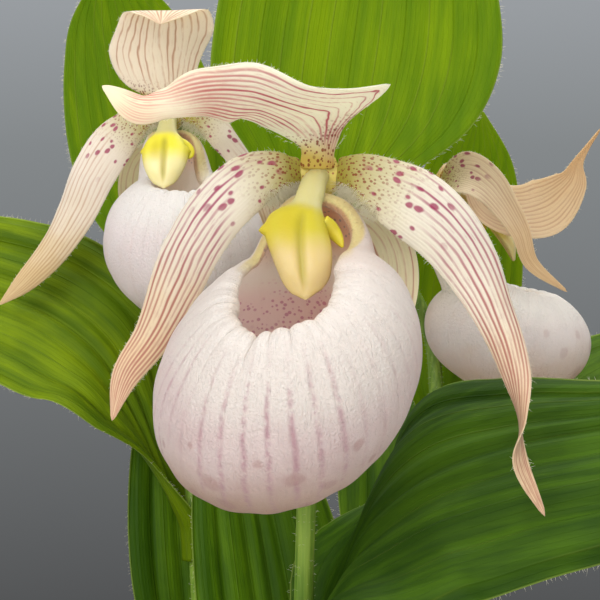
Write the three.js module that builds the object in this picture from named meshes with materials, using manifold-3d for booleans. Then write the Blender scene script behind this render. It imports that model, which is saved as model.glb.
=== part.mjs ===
import * as THREE from 'three';
import Module from 'manifold-3d';

// Millimetres, +Z up. The origin is the middle of the pot's base and the front is -Y.

const GAP = 0.35;
const LEAF_THICKNESS = 0.8;
const PETAL_THICKNESS = 0.8;
const LIP_WALL = 1.2;
const LEAF_GRID = [11, 6];
const PETAL_GRID = [13, 5];
const SEPAL_GRID = [14, 6];
const COLUMN_GRID = [10, 6];
const STEM_SIDES = 8;
const STEM_RINGS = 16;

const POT = {
  baseRadius: 56,
  bodyTopRadius: 70,
  rimRadius: 75,
  rimHeight: 15,
  height: 122,
  wall: 2.2,
  floor: 3,
  sides: 48,
};
const SOIL = { top: 110, relief: 2.2, rings: 7, sides: 40 };

// Each bloom has its own origin, where the column meets the ovary, and its own size.
const BLOOMS = {
  a: { origin: [4, -53, 371], scale: 1 },
  b: { origin: [-38.7, 44, 386.7], scale: 0.92 },
  c: { origin: [46, 61, 363], scale: 0.95 },
};

// Stems run from the soil to the collar behind each bloom.
const STEMS = {
  a: {
    radius: 2.4,
    spine: [[5, -24, 78], [4, -25, 140], [2, -27, 205], [1, -28, 265], [2.5, -28.5, 315],
      [4, -30, 345], [4, -34, 363], [4, -42, 371], [4, -48.9, 371]],
    radii: [2.7, 2.6, 2.5, 2.4, 2.3, 2.2, 2.9, 3.4, 5],
  },
  b: {
    radius: 2.4,
    spine: [[-24, 22, 78], [-27, 27, 140], [-29, 31, 200], [-32, 37, 262], [-37, 54, 317],
      [-38.7, 64, 350], [-38.7, 62, 376], [-38.7, 54.5, 386.7], [-38.7, 47.8, 386.7]],
    radii: [2.7, 2.6, 2.5, 2.4, 2.3, 2.2, 2.7, 3.2, 4.7],
  },
  c: {
    radius: 2.4,
    spine: [[28, 22, 78], [34, 32, 140], [40, 45, 200], [44, 60, 262], [44, 75, 312],
      [32, 79, 338], [22, 70, 355], [31, 62, 363], [42.1, 61, 363]],
    radii: [2.7, 2.6, 2.5, 2.4, 2.3, 2.2, 2.7, 3.2, 4.8],
  },
};

// Leaf angles are in degrees, with azimuth 0 at +X and 90 at the back.
const LEAF_OUTLINE = [0.42, 0.78, 0.96, 1, 0.95, 0.82, 0.58];
const LEAVES = {
  a_low: { height: 146, azimuth: 250, length: 148, width: 66, climb: [68, -6], curl: [24, 14] },
  a_middle: { height: 172, azimuth: 116, length: 140, width: 46, climb: [82, 56] },
  a_top: {
    height: 231.5, azimuth: -14, length: 166, width: 70, climb: [78, 76, 42, 18, 14, 10, 6],
    launch: 0, lean: 40, curl: [-30, -20], outline: [0.7, 1, 1, 0.94, 0.86, 0.72, 0.46],
    upper: [0.9, 1.25, 1.14, 0.74, 0.47, 0.3, 0.2],
  },
  a_bract: {
    height: 328, azimuth: 90, length: 126, width: 70, climb: [82, 86], sheath: 10,
    curl: [14, 10], outline: [0.22, 0.42, 0.86, 1, 0.92, 0.74, 0.46],
    upper: [0.22, 0.52, 0.885, 0.945, 0.9, 0.74, 0.46], drift: 0.14,
  },
  b_low: { height: 146, azimuth: 205, length: 146, width: 64, climb: [68, -8], curl: [24, 14] },
  b_middle: { height: 178, azimuth: 106, length: 130, width: 42, climb: [82, 60] },
  b_top: {
    height: 252, azimuth: 168, length: 146, width: 55, climb: [68, 66, 56, 26, 16, 10, 6],
    launch: 0, lean: -56, clearance: 1.9,
  },
  b_bract: {
    height: 318, azimuth: 90, length: 114, width: 52, climb: [56, 98], launch: 0, sheath: 10,
    curl: [14, 10], drift: -0.23,
  },
  c_low: { height: 146, azimuth: -10, length: 146, width: 64, climb: [66, -10], curl: [24, 14] },
  c_middle: { height: 190, azimuth: 85, length: 146, width: 62, climb: [70, 10] },
  c_top: { height: 226, azimuth: 20, length: 140, width: 60, climb: [64, 0] },
  c_bract: {
    height: 262, azimuth: 86, length: 129, width: 46, climb: [38, 100], sheath: 10,
    curl: [14, 10], drift: 0.12,
  },
};

// Petals and sepals, in each bloom's own millimetres: x right, y back, z up.
const PETALS = {
  a_left_petal: {
    spine: [[-3.9, 3, 0.2], [-8, -2, 1], [-14.5, -4, -0.8], [-21, -4.5, -6.5], [-26.5, -2, -14.5],
      [-31, 1.5, -23.5], [-36, 3, -34], [-42, 2, -43], [-44.6, -1, -52.4]],
    side: [[0, 0.2, 1], [0.1, 0.2, 1], [-0.35, 0.15, 1], [-0.8, 0.1, 0.6], [-1, 0.1, 0.3],
      [-1, 0.1, 0.2], [-1, 0.2, 0.2], [-1, 0.2, 0.1], [-1, 0.1, -0.2]],
    left: [1.9, 4.6, 6.4, 6.6, 6.4, 6, 4.6, 3.2, 0.35],
    curl: [15, 30, 40, 38, 34, 30, 30, 20, 0],
    wave: [0.5, 1.6, 0.1],
  },
  a_right_petal: {
    spine: [[3.9, 3, 0.2], [7.5, -1.5, 0.6], [13.5, -4.5, -2], [20, -5.5, -5.6], [26.5, -5, -11.2],
      [32.3, -4, -19], [37, -4.5, -28.5], [40.4, -6, -38.5], [42, -8.5, -49.5], [42, -10, -59],
      [47, -12, -70]],
    side: [[0, 0.2, 1], [0, 0.2, 1], [0.35, 0.1, 1], [0.6, 0.1, 0.8], [0.9, 0.1, 0.6],
      [1, 0.1, 0.4], [1, 0.1, 0.2], [0.9, -0.3, 0.2], [0.2, -1, 0], [-0.8, -0.6, 0],
      [-1, 0.2, 0]],
    left: [1.9, 4.6, 6.8, 7.8, 7.4, 6.4, 5, 3.6, 2.6, 2.3, 0.35],
    curl: [-15, -26, -34, -30, -30, -32, -40, -34, -20, 0, 0],
    wave: [0.5, 1.8, 0.3],
  },
  a_dorsal_sepal: {
    spine: [[-0.3, 3, 4.2], [-0.3, -0.5, 7.5], [-3.4, -6, 11.6], [-9.4, -11, 14.3],
      [-15.2, -14, 15.4], [-22.2, -16, 15.6], [-29.5, -17, 14.2], [-35.5, -17, 14.2],
      [-42.5, -15, 18]],
    side: [[1, 0, 0], [1, -0.1, 0.2], [0.85, -0.45, 0.16], [0.45, -0.8, 0.3], [0, -0.8, 0.6],
      [0, -0.6, 0.75], [0, 0.1, 0.8], [0, 0.6, 0.6], [0.3, 0.6, 0.5]],
    left: [2.4, 6.2, 10.4, 11.2, 9.5, 4.9, 2.6, 3.8, 0.4],
    right: [2.4, 6.7, 17.5, 11.4, 8.6, 5.9, 4.3, 5.8, 0.4],
    curl: [20, 24, 10, 8, 24, 24, 40, 40, 0],
    wave: [0.6, 1.3, 0.2],
  },
  a_synsepal: {
    spine: [[0.8, 5.5, -5.7], [4.2, 10.2, -10.2], [9, 12.5, -17], [10.5, 14, -27], [9, 14.5, -37],
      [7, 13, -47]],
    side: [[1, 0, 0], [1, 0, 0.3], [1, -0.1, 0.1], [1, -0.2, -0.1], [1, -0.2, -0.2],
      [1, -0.2, -0.2]],
    left: [2, 7, 12.5, 12.5, 8, 0.6],
    curl: [20, 20, 25, 25, 20, 0],
    wave: [0.6, 1.2, 0],
  },
  b_left_petal: {
    spine: [[-3.9, 3, 0.2], [-10, -1, -2.5], [-18, -2.5, -9], [-25, -2.5, -19.5],
      [-31, -1.5, -31.5], [-38.5, -2, -43.5], [-47, -4, -53.5], [-55, -7, -61]],
    side: [[0, 0.2, 1], [-0.3, 0.1, 1], [-0.8, 0.1, 0.6], [-1, 0.1, 0.3], [-1, 0.2, 0.2],
      [-1, 0.3, 0.5], [-0.8, 0.2, 0.6], [-0.8, 0.1, 0.6]],
    left: [1.9, 5, 7.4, 7.6, 7, 5.5, 3.6, 0.35],
    curl: [15, 30, 34, 34, 30, 30, 20, 0],
    wave: [0.6, 1.6, 0.1],
  },
  b_right_petal: {
    spine: [[3.9, 3, 0.2], [10.5, -1, -0.5], [19, -2, -5.5], [26, 1, -14], [31.5, 4, -25],
      [34.5, 6, -37], [36, 6, -48], [40, 4, -57]],
    side: [[0, 0.2, 1], [0.3, 0.1, 1], [0.8, 0.1, 0.6], [1, 0.1, 0.3], [1, 0.1, 0.2],
      [1, 0.4, 0.2], [0.3, 1, 0.1], [-1, 0.3, 0.2]],
    left: [1.9, 5, 7.4, 7.4, 6.4, 4.8, 3, 0.35],
    curl: [-15, -30, -34, -34, -30, -30, -20, 0],
    wave: [0.6, 1.6, 0.3],
  },
  b_dorsal_sepal: {
    spine: [[-0.3, 3, 4.2], [-1, 0, 9], [-1.4, -4.5, 17], [-1.2, -10, 24.5], [0, -17, 29.6],
      [1, -24, 28.6], [1.5, -29.5, 25]],
    side: [[1, 0, 0], [1, 0, 0]],
    left: [2.4, 14, 17.5, 13.6, 10.5, 7, 0.5],
    right: [2.4, 8.5, 12.5, 16.6, 14.8, 9.5, 0.5],
    curl: [20, 20, 18, 14, 4, 0, 0],
    wave: [0.8, 1.3, 0.2],
  },
  b_synsepal: {
    spine: [[-0.6, 5.6, -5.7], [-3, 11.4, -10.2], [-6, 14, -19], [-7, 15.5, -29], [-6, 15, -39],
      [-5, 13, -48]],
    side: [[1, 0, 0], [1, 0, 0]],
    left: [2, 7, 12, 12, 8, 0.6],
    curl: [20, 20, 25, 25, 20, 0],
    wave: [0.6, 1.2, 0],
  },
  c_left_petal: {
    spine: [[-3, -3.9, 0.2], [0, -10, 4.9], [4.4, -17, 6.7], [9.6, -22, 3.4], [14.6, -24, -3],
      [19.6, -25, -11.3], [23.8, -24, -21.3], [35.3, -23, -30.2]],
    side: [[0.3, 0, 1], [0.2, 0, 1], [0.2, 0, 1], [0.55, 0, 0.83], [0.8, 0, 0.6], [0.95, 0.1, 0.4],
      [1, 0.2, 0.3], [0.6, 0, 0.8]],
    left: [1.9, 5, 7, 6, 4.4, 3.2, 2.4, 0.35],
    curl: [15, 30, 34, 34, 30, 20, 10, 0],
    wave: [0.6, 1.6, 0.1],
  },
  c_right_petal: {
    spine: [[-2.2, 4, 0.2], [1.5, 8.5, 3], [5.5, 16.5, 3.5], [10, 23, -1], [14, 27, -9], [17, 29, -19],
      [19, 30, -30], [23, 31, -40]],
    side: [[0, 0.2, 1], [0.2, 0.3, 1], [0.5, 0.8, 0.8], [0.6, 0.8, 0.3], [0.6, 0.9, 0.3],
      [0.3, 1, 0.2], [-0.6, 0.8, 0.1], [-1, 0.2, 0]],
    left: [1.9, 4.6, 6.4, 6.8, 6, 4.6, 3, 0.35],
    curl: [-15, -30, -34, -34, -30, -20, -10, 0],
    wave: [0.6, 1.6, 0.3],
  },
  c_dorsal_sepal: {
    spine: [[-3, -0.3, 4.2], [0.5, -0.8, 8.2], [7.1, -4, 2.8], [14.2, -9, -3.8], [22.2, -11, -5.9],
      [30.8, -11, -4], [38.5, -9, 3], [41.3, -8, 10.6], [48.3, -7, 20.8]],
    side: [[0, -1, 0], [0, -1, -0.1], [0, -0.9, -0.5], [0.1, -0.5, -0.8], [0.05, -0.3, -1],
      [0.3, -0.2, -0.95], [0.75, -0.2, -0.65], [0.9, 0.2, -0.3], [0.6, 0.8, -0.4]],
    left: [2.4, 5.5, 7.5, 8.2, 8.6, 9.4, 5.6, 1.7, 0.4],
    curl: [-20, -20, -18, -14, -14, -16, -20, -20, 0],
    wave: [0.8, 1.3, 0.2],
  },
  c_synsepal: {
    spine: [[-5.2, 0.2, -5.6], [-9.7, 0, -10.2], [-13, -0.5, -19], [-13.5, -1, -29],
      [-12.5, -1, -38], [-10.5, -1, -46]],
    side: [[0, 1, 0], [0, 1, 0]],
    left: [2, 7, 11.5, 11.5, 8, 0.6],
    curl: [-20, -20, -25, -25, -20, 0],
    wave: [0.6, 1.2, 0],
  },
};

// A lip is a hollow pouch. Its radii lie along tall, then back, then across.
const LIPS = {
  a: {
    centre: [-6.5, -17, -39], top: [1.3, 1.3, -4.6], mouth: [-0.05, -0.47, 0.88],
    tall: [-0.84, -0.28, 0.78], radii: [23, 29.2, 30.2], rim: 29, rimTop: 55, grid: [40, 12],
  },
  b: {
    centre: [6, -15, -41], top: [0, 1.6, -4.7], mouth: [0.02, -0.2, 0.98],
    tall: [0.02, -0.2, 0.98], radii: [23.5, 28, 25], rim: 26, rimTop: 35, grid: [32, 10],
  },
  c: {
    centre: [21.5, 2, -48.5], top: [-0.6, 0, -4.9], mouth: [0.22, 0.03, 0.97],
    tall: [0.22, 0.03, 0.97], radii: [19.3, 28.5, 24.2], rim: 28, rimTop: 41, grid: [32, 10],
  },
};
const LIP_TAPER = 0.05;
const LIP_KEY = [14, 34];
const LIP_NECK = [6, 30];
const LIP_ROLL = 1.4;

// The column carries the staminode, the shield over the mouth of the lip.
const COLUMNS = {
  a: {
    spine: [[0, 2.8, 0], [-1.2, -2, -1.6], [-2.6, -9.5, -5.7], [-3.9, -15.5, -10.8],
      [-3.7, -20, -17], [-2.9, -22.5, -23]],
    side: [[1, 0, -0.05], [1, 0, 0]],
    left: [2.5, 2.7, 3.4, 7.3, 4.8, 1.2],
    right: [2.4, 2.7, 3.2, 5.8, 5.8, 1.4],
  },
  b: {
    spine: [[0, 2.8, 0], [0, -2.5, -2.4], [0.2, -9.5, -6.4], [0.4, -15.5, -12], [0.5, -19.5, -17.5],
      [0.6, -22, -23]],
    side: [[1, 0, 0], [1, 0, 0]],
    left: [2.5, 2.7, 4, 7.2, 5, 1.8],
  },
  c: {
    spine: [[-2.8, 0, 0], [2.5, 0, -1.6], [10, 0.2, -5.7], [16, 0.4, -10.8], [20.5, 0.5, -17],
      [23, 0.6, -23]],
    side: [[0, 1, 0], [0, 1, 0]],
    left: [2.5, 2.7, 4, 7.4, 6, 1.8],
  },
};
const COLUMN_DEPTH = [1.8, 2, 1.7, 1.5, 1.4, 0.4];

const add = (a, b, k = 1) => [a[0] + k * b[0], a[1] + k * b[1], a[2] + k * b[2]];
const sub = (a, b) => add(a, b, -1);
const dot = (a, b) => a[0] * b[0] + a[1] * b[1] + a[2] * b[2];
const scaled = (a, k) => [a[0] * k, a[1] * k, a[2] * k];
const cross = (a, b) => [
  a[1] * b[2] - a[2] * b[1],
  a[2] * b[0] - a[0] * b[2],
  a[0] * b[1] - a[1] * b[0],
];
const size = (a) => Math.sqrt(dot(a, a));
const unit = (a) => scaled(a, 1 / Math.max(size(a), 1e-9));
const radians = (degrees) => (degrees * Math.PI) / 180;
const clamp = (x, low, high) => Math.min(high, Math.max(low, x));
const mix = (a, b, t) => a + (b - a) * t;

function smooth(low, high, x) {
  const t = clamp((x - low) / (high - low), 0, 1);
  return t * t * (3 - 2 * t);
}

// A smooth value at u, from 0 to 1, through evenly spaced control values.
function track(values, u) {
  if (typeof values[0] === 'number') {
    return track(values.map((value) => [value, 0, 0]), u)[0];
  }
  const last = values.length - 1;
  const x = clamp(u, 0, 1) * last;
  const i = Math.min(Math.floor(x), last - 1);
  const t = x - i;
  const b = values[i];
  const c = values[i + 1];
  const a = i > 0 ? values[i - 1] : sub(scaled(b, 2), c);
  const d = i + 2 <= last ? values[i + 2] : sub(scaled(c, 2), b);
  return b.map((_, k) => b[k] + 0.5 * t * (c[k] - a[k]
    + t * (2 * a[k] - 5 * b[k] + 4 * c[k] - d[k]
    + t * (3 * (b[k] - c[k]) + d[k] - a[k]))));
}

// The middle surface of a petal or leaf. Curl bends each half into an arc.
function surface(blade, u, v) {
  const step = 0.004;
  const centre = track(blade.spine, u);
  const tangent = unit(sub(
    track(blade.spine, Math.min(u + step, 1)),
    track(blade.spine, Math.max(u - step, 0)),
  ));
  const raw = track(blade.side, u);
  const side = unit(add(raw, tangent, -dot(raw, tangent)));
  const normal = cross(tangent, side);
  const left = track(blade.left, u);
  const right = track(blade.right ?? blade.left, u);
  const curl = radians(track(blade.curl, u));
  let bend = curl / Math.max((left + right) / 2, 1e-6);
  if (Math.abs(bend) < 1e-5) {
    bend = 1e-5;
  }
  const s = v * (v > 0 ? right : left);
  let lift = (1 - Math.cos(bend * s)) / bend;
  if (blade.wave) {
    const [height, count, phase] = blade.wave;
    const turn = 2 * Math.PI * (count * u + phase + 0.22 * Math.sign(v));
    lift += height * Math.sin(Math.PI * u) * v * v * Math.sin(turn);
  }
  return add(add(centre, side, Math.sin(bend * s) / bend), normal, lift);
}

// Two grids of points, joined along their four edges into one closed body.
function closedSheet(front, back, wrapped = false) {
  const rows = front.length;
  const columns = front[0].length;
  const positions = [];
  const faces = [];
  const index = (layer, i, j) => (layer * rows + i) * columns + j;
  for (const layer of [front, back]) {
    for (const row of layer) {
      for (const point of row) {
        positions.push(...point);
      }
    }
  }
  const quad = (a, b, c, d) => {
    faces.push([a, b, c], [a, c, d]);
  };
  const rowCount = wrapped ? rows : rows - 1;
  for (let i = 0; i < rowCount; i += 1) {
    const next = (i + 1) % rows;
    for (let j = 0; j < columns - 1; j += 1) {
      quad(index(0, i, j), index(0, next, j), index(0, next, j + 1), index(0, i, j + 1));
      faces.push([index(1, i, j), index(1, next, j + 1), index(1, next, j)]);
      faces.push([index(1, i, j), index(1, i, j + 1), index(1, next, j + 1)]);
    }
    quad(index(0, next, 0), index(0, i, 0), index(1, i, 0), index(1, next, 0));
    if (!wrapped) {
      const end = columns - 1;
      quad(index(0, i, end), index(0, next, end), index(1, next, end), index(1, i, end));
    }
  }
  if (!wrapped) {
    for (let j = 0; j < columns - 1; j += 1) {
      const end = rows - 1;
      quad(index(0, 0, j), index(0, 0, j + 1), index(1, 0, j + 1), index(1, 0, j));
      quad(index(0, end, j + 1), index(0, end, j), index(1, end, j), index(1, end, j + 1));
    }
  }
  return solid(positions, faces);
}

// Triangles that have shrunk to a line, as at a pole, are dropped.
function solid(positions, faces) {
  const at = (i) => positions.slice(3 * i, 3 * i + 3);
  const key = (i) => at(i).map((x) => Math.round(x * 1e4)).join(',');
  const seen = new Map();
  const points = [];
  const remap = (i) => {
    const name = key(i);
    if (!seen.has(name)) {
      seen.set(name, points.length / 3);
      points.push(...at(i));
    }
    return seen.get(name);
  };
  const kept = faces.map((face) => face.map(remap))
    .filter(([a, b, c]) => a !== b && b !== c && a !== c);
  let volume = 0;
  const vertex = (i) => points.slice(3 * i, 3 * i + 3);
  for (const [a, b, c] of kept) {
    volume += dot(vertex(a), cross(vertex(b), vertex(c)));
  }
  const outward = volume > 0 ? kept : kept.map(([a, b, c]) => [a, c, b]);
  const geometry = new THREE.BufferGeometry();
  geometry.setAttribute('position', new THREE.Float32BufferAttribute(points, 3));
  geometry.setIndex(outward.flat());
  return geometry;
}

// A blade of even thickness, or one with a depth that swells to the middle.
function bladeSolid(blade, grid, thickness, place, depth = null) {
  const [rows, columns] = grid;
  const front = [];
  const back = [];
  const e = 0.004;
  for (let i = 0; i <= rows; i += 1) {
    const u = i / rows;
    front.push([]);
    back.push([]);
    for (let j = 0; j <= columns; j += 1) {
      const v = (2 * j) / columns - 1;
      const p = place(surface(blade, u, v));
      const along = sub(
        place(surface(blade, Math.min(u + e, 1), v)),
        place(surface(blade, Math.max(u - e, 0), v)),
      );
      const across = sub(place(surface(blade, u, v + e)), place(surface(blade, u, v - e)));
      const normal = unit(cross(along, across));
      const half = depth
        ? 0.3 + track(depth, u) * Math.sqrt(Math.max(0, 1 - v * v))
        : thickness / 2;
      front[i].push(add(p, normal, half));
      back[i].push(add(p, normal, -half));
    }
  }
  return closedSheet(front, back);
}

function leafBlade(stem, leaf) {
  const { height, azimuth, length, width, climb } = leaf;
  const sheath = leaf.sheath ?? 14;
  const outline = leaf.outline ?? LEAF_OUTLINE;
  const upper = leaf.upper ?? outline;
  const [firstCurl, lastCurl] = leaf.curl ?? [20, 14];
  const lean = leaf.lean ?? 0;
  const drift = leaf.drift ?? 0;
  const launch = leaf.launch ?? (90 - climb[0]) / 2;
  const wrap = 150;
  const sheathRadius = stem.radius + (leaf.clearance ?? 1.2);
  const heading = (angle) => [Math.cos(angle), Math.sin(angle), 0];
  const angle = radians(azimuth);
  const outward = heading(angle);
  const base = stemPoint(stem, height);
  const top = stemPoint(stem, height + sheath);
  const spine = [
    add(base, outward, sheathRadius),
    add(scaled(add(base, top), 0.5), outward, sheathRadius),
    add(top, outward, sheathRadius + 0.6),
  ];
  const steps = outline.length + 1;
  for (let i = 1; i <= steps; i += 1) {
    const f = (i - 0.5) / steps;
    const extra = i === 1 ? launch : 0;
    const slope = radians(track(climb, f) + extra);
    const level = scaled(outward, Math.cos(slope));
    const move = [level[0] + drift, level[1], Math.sin(slope)];
    spine.push(add(spine[spine.length - 1], move, length / steps));
  }
  const across = heading(angle + Math.PI / 2);
  const side = spine.map((_, i) => {
    const f = Math.max(0, i - 2) / (spine.length - 3);
    const tilt = radians(lean) * Math.min(1, 2.4 * f);
    return add(scaled(across, Math.cos(tilt)), [0, 0, 1], Math.sin(tilt));
  });
  const halfSheath = radians(wrap) * sheathRadius;
  const halves = (shares) => [
    halfSheath, halfSheath, halfSheath, ...shares.map((k) => (k * width) / 2), 0.5,
  ];
  const curl = [wrap, wrap, 112, 58];
  for (let i = 0; i < steps - 1; i += 1) {
    curl.push(mix(firstCurl, lastCurl, i / (steps - 2)));
  }
  return { spine, side, left: halves(outline), right: halves(upper), curl };
}

function stemPoint(stem, height) {
  let best = 0;
  for (let i = 0; i <= 400; i += 1) {
    const u = i / 400;
    if (Math.abs(track(stem.spine, u)[2] - height) < Math.abs(track(stem.spine, best)[2] - height)) {
      best = u;
    }
  }
  return track(stem.spine, best);
}

// Rings of a tube keep their heading from one ring to the next.
function tube(spine, radii, rings, sides, grow = 0) {
  const front = [];
  let across = [1, 0, 0];
  const centres = [];
  for (let i = 0; i <= rings; i += 1) {
    const u = i / rings;
    const centre = track(spine, u);
    const tangent = unit(sub(track(spine, Math.min(u + 0.004, 1)), track(spine, Math.max(u - 0.004, 0))));
    across = unit(add(across, tangent, -dot(across, tangent)));
    const other = cross(tangent, across);
    const radius = track(radii, u) + grow;
    centres.push(centre);
    front.push(Array.from({ length: sides }, (_, k) => {
      const a = (2 * Math.PI * k) / sides;
      return add(add(centre, across, radius * Math.cos(a)), other, radius * Math.sin(a));
    }));
  }
  const positions = front.flat(2).concat(centres[0], centres[rings]);
  const faces = [];
  const first = (rings + 1) * sides;
  for (let k = 0; k < sides; k += 1) {
    const m = (k + 1) % sides;
    for (let i = 0; i < rings; i += 1) {
      const a = i * sides;
      faces.push([a + k, a + m, a + sides + m], [a + k, a + sides + m, a + sides + k]);
    }
    faces.push([first, m, k]);
    faces.push([first + 1, rings * sides + k, rings * sides + m]);
  }
  return solid(positions, faces);
}

// The pouch is drawn about its own middle, from the rim of the mouth down to the far end.
function lipSolid(lip, place) {
  const mouth = unit(lip.mouth);
  const neckLine = sub(lip.top, lip.centre);
  const neck = unit(neckLine);
  const back = unit(add(neck, mouth, -dot(neck, mouth)));
  const right = cross(back, mouth);
  const tall = unit(lip.tall);
  const deep = unit(add(back, tall, -dot(back, tall)));
  const wide = cross(deep, tall);
  const [tallRadius, deepRadius, wideRadius] = lip.radii;
  const [ringCount, rowCount] = lip.grid;
  const outer = [];
  const inner = [];
  for (let i = 0; i < ringCount; i += 1) {
    const x = (2 * Math.PI * i) / ringCount;
    const around = x - 0.55 * Math.sin(x);
    const fromBack = Math.abs(Math.atan2(Math.sin(around), Math.cos(around)));
    const keyhole = 1 - smooth(radians(LIP_KEY[0]), radians(LIP_KEY[1]), fromBack);
    const rim = radians(mix(lip.rim, lip.rimTop, keyhole));
    outer.push([]);
    inner.push([]);
    for (let j = 0; j <= rowCount; j += 1) {
      const down = rim + (Math.PI - rim) * (j / rowCount) ** 1.15;
      const level = add(scaled(back, Math.cos(around)), right, Math.sin(around));
      const d = add(scaled(mouth, Math.cos(down)), level, Math.sin(down));
      const taper = 1 + LIP_TAPER * dot(d, tall);
      let r = 1 / Math.sqrt((dot(d, tall) / tallRadius) ** 2
        + (dot(d, deep) / deepRadius / taper) ** 2
        + (dot(d, wide) / wideRadius / taper) ** 2);
      const off = Math.acos(clamp(dot(d, neck), -1, 1));
      r = mix(size(neckLine), r, smooth(radians(LIP_NECK[0]), radians(LIP_NECK[1]), off));
      const past = ((down - rim) * 180) / Math.PI;
      r -= LIP_ROLL * clamp(1 - past / 9, 0, 1) ** 2;
      outer[i].push(place(add(lip.centre, d, r)));
      inner[i].push(place(add(lip.centre, d, r - LIP_WALL)));
    }
  }
  return closedSheet(outer, inner, true);
}

function potSolid() {
  const p = POT;
  const shoulder = p.height - p.rimHeight;
  const profile = [
    [0, 0],
    [p.baseRadius - 2, 0],
    [p.baseRadius, 2],
    [p.bodyTopRadius, shoulder],
    [p.rimRadius - 1, shoulder],
    [p.rimRadius, shoulder + 1],
    [p.rimRadius, p.height - 1],
    [p.rimRadius - 1, p.height],
    [p.rimRadius - p.wall + 0.6, p.height],
    [p.rimRadius - p.wall, p.height - 1],
    [p.bodyTopRadius - p.wall, shoulder - 2],
    [p.baseRadius - p.wall, p.floor],
    [0, p.floor],
  ];
  return lathe(profile, p.sides);
}

function lathe(profile, sides, lift = () => 0) {
  const positions = [];
  const faces = [];
  for (let k = 0; k < sides; k += 1) {
    const a = (2 * Math.PI * k) / sides;
    profile.forEach(([r, z], j) => {
      positions.push(r * Math.cos(a), r * Math.sin(a), z + lift(r, a, j));
    });
  }
  const n = profile.length;
  for (let k = 0; k < sides; k += 1) {
    const m = (k + 1) % sides;
    for (let j = 0; j < n - 1; j += 1) {
      const [a, b, c, d] = [k * n + j, m * n + j, m * n + j + 1, k * n + j + 1];
      faces.push([a, b, c], [a, c, d]);
    }
  }
  return solid(positions, faces);
}

// The growing medium has a lumpy top and reaches down to the pot's floor.
function soilBlank() {
  const p = POT;
  const innerAt = (z) => {
    const foot = p.floor;
    const shoulder = p.height - p.rimHeight - 2;
    const t = clamp((z - foot) / (shoulder - foot), 0, 1);
    return mix(p.baseRadius, p.bodyTopRadius, t) - p.wall - GAP - 0.6;
  };
  const edge = SOIL.top - 5;
  const profile = [[0, p.floor + GAP], [innerAt(p.floor) - 0.4, p.floor + GAP], [innerAt(edge), edge]];
  const topStart = profile.length;
  for (let i = SOIL.rings - 1; i >= 0; i -= 1) {
    const r = (innerAt(edge) * i) / SOIL.rings;
    profile.push([r, SOIL.top - 2.5 * (r / innerAt(edge)) ** 4]);
  }
  const lumps = (r, a, j) => {
    if (j < topStart || r < 1e-6) {
      return 0;
    }
    const wobble = Math.sin(5 * a + 0.21 * r) + Math.sin(8 * a - 0.33 * r + 1.3) + Math.sin(13 * a + r);
    return (SOIL.relief * wobble) / 3;
  };
  return lathe(profile, SOIL.sides, lumps);
}

const wasm = await Module();
wasm.setup();
const { Manifold, Mesh } = wasm;

function toManifold(geometry) {
  const mesh = new Mesh({
    numProp: 3,
    vertProperties: new Float32Array(geometry.getAttribute('position').array),
    triVerts: new Uint32Array(geometry.getIndex().array),
  });
  mesh.merge();
  return new Manifold(mesh);
}

function fromManifold(body) {
  const mesh = body.getMesh();
  const geometry = new THREE.BufferGeometry();
  const points = [];
  for (let i = 0; i < mesh.vertProperties.length; i += mesh.numProp) {
    points.push(...mesh.vertProperties.slice(i, i + 3));
  }
  geometry.setAttribute('position', new THREE.Float32BufferAttribute(points, 3));
  geometry.setIndex(Array.from(mesh.triVerts));
  return geometry;
}

// The hole for a stem follows the stem, a little wider and a little deeper.
function stemHole(stem) {
  const foot = stem.spine[0];
  const upper = track(stem.spine, 0.09);
  const deeper = add(foot, unit(sub(foot, upper)), 0.5);
  return toManifold(tube([deeper, foot, upper], [stem.radii[0], stem.radii[0]], 3, 16, 0.55));
}

const group = new THREE.Group();
group.name = 'potted_slipper_orchid';

function addPiece(name, geometry, material) {
  geometry.computeVertexNormals();
  const mesh = new THREE.Mesh(geometry, material);
  mesh.name = name;
  group.add(mesh);
}

const material = (color) => new THREE.MeshStandardMaterial({ color });
const MATERIALS = {
  pot: material(0x3a3a3c),
  soil: material(0x5a4030),
  stem: material(0x7fa03a),
  leaf: material(0x4f8a28),
  petal: material(0xead9c0),
  sepal: material(0xe8c8c4),
  lip: material(0xece4e2),
  column: material(0xe6dc6a),
};

addPiece('pot', potSolid(), MATERIALS.pot);
let soil = toManifold(soilBlank());
for (const stem of Object.values(STEMS)) {
  soil = soil.subtract(stemHole(stem));
}
addPiece('soil', fromManifold(soil), MATERIALS.soil);

for (const [key, stem] of Object.entries(STEMS)) {
  addPiece(`${key}_stem`, tube(stem.spine, stem.radii, STEM_RINGS, STEM_SIDES), MATERIALS.stem);
}

const inPlace = (point) => point;
for (const [key, leaf] of Object.entries(LEAVES)) {
  const blade = leafBlade(STEMS[key[0]], leaf);
  const name = key.endsWith('bract') ? key : `${key}_leaf`;
  addPiece(name, bladeSolid(blade, LEAF_GRID, LEAF_THICKNESS, inPlace), MATERIALS.leaf);
}

for (const [key, bloom] of Object.entries(BLOOMS)) {
  const place = (point) => add(bloom.origin, point, bloom.scale);
  for (const [name, petal] of Object.entries(PETALS)) {
    if (name.startsWith(`${key}_`)) {
      const isPetal = name.endsWith('petal');
      const grid = isPetal ? PETAL_GRID : SEPAL_GRID;
      const colour = isPetal ? MATERIALS.petal : MATERIALS.sepal;
      addPiece(name, bladeSolid(petal, grid, PETAL_THICKNESS, place), colour);
    }
  }
  addPiece(`${key}_lip`, lipSolid(LIPS[key], place), MATERIALS.lip);
  const column = { curl: [0, 0], ...COLUMNS[key] };
  addPiece(`${key}_column`, bladeSolid(column, COLUMN_GRID, 0, place, COLUMN_DEPTH), MATERIALS.column);
}

export default group;
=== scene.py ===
import math

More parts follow.
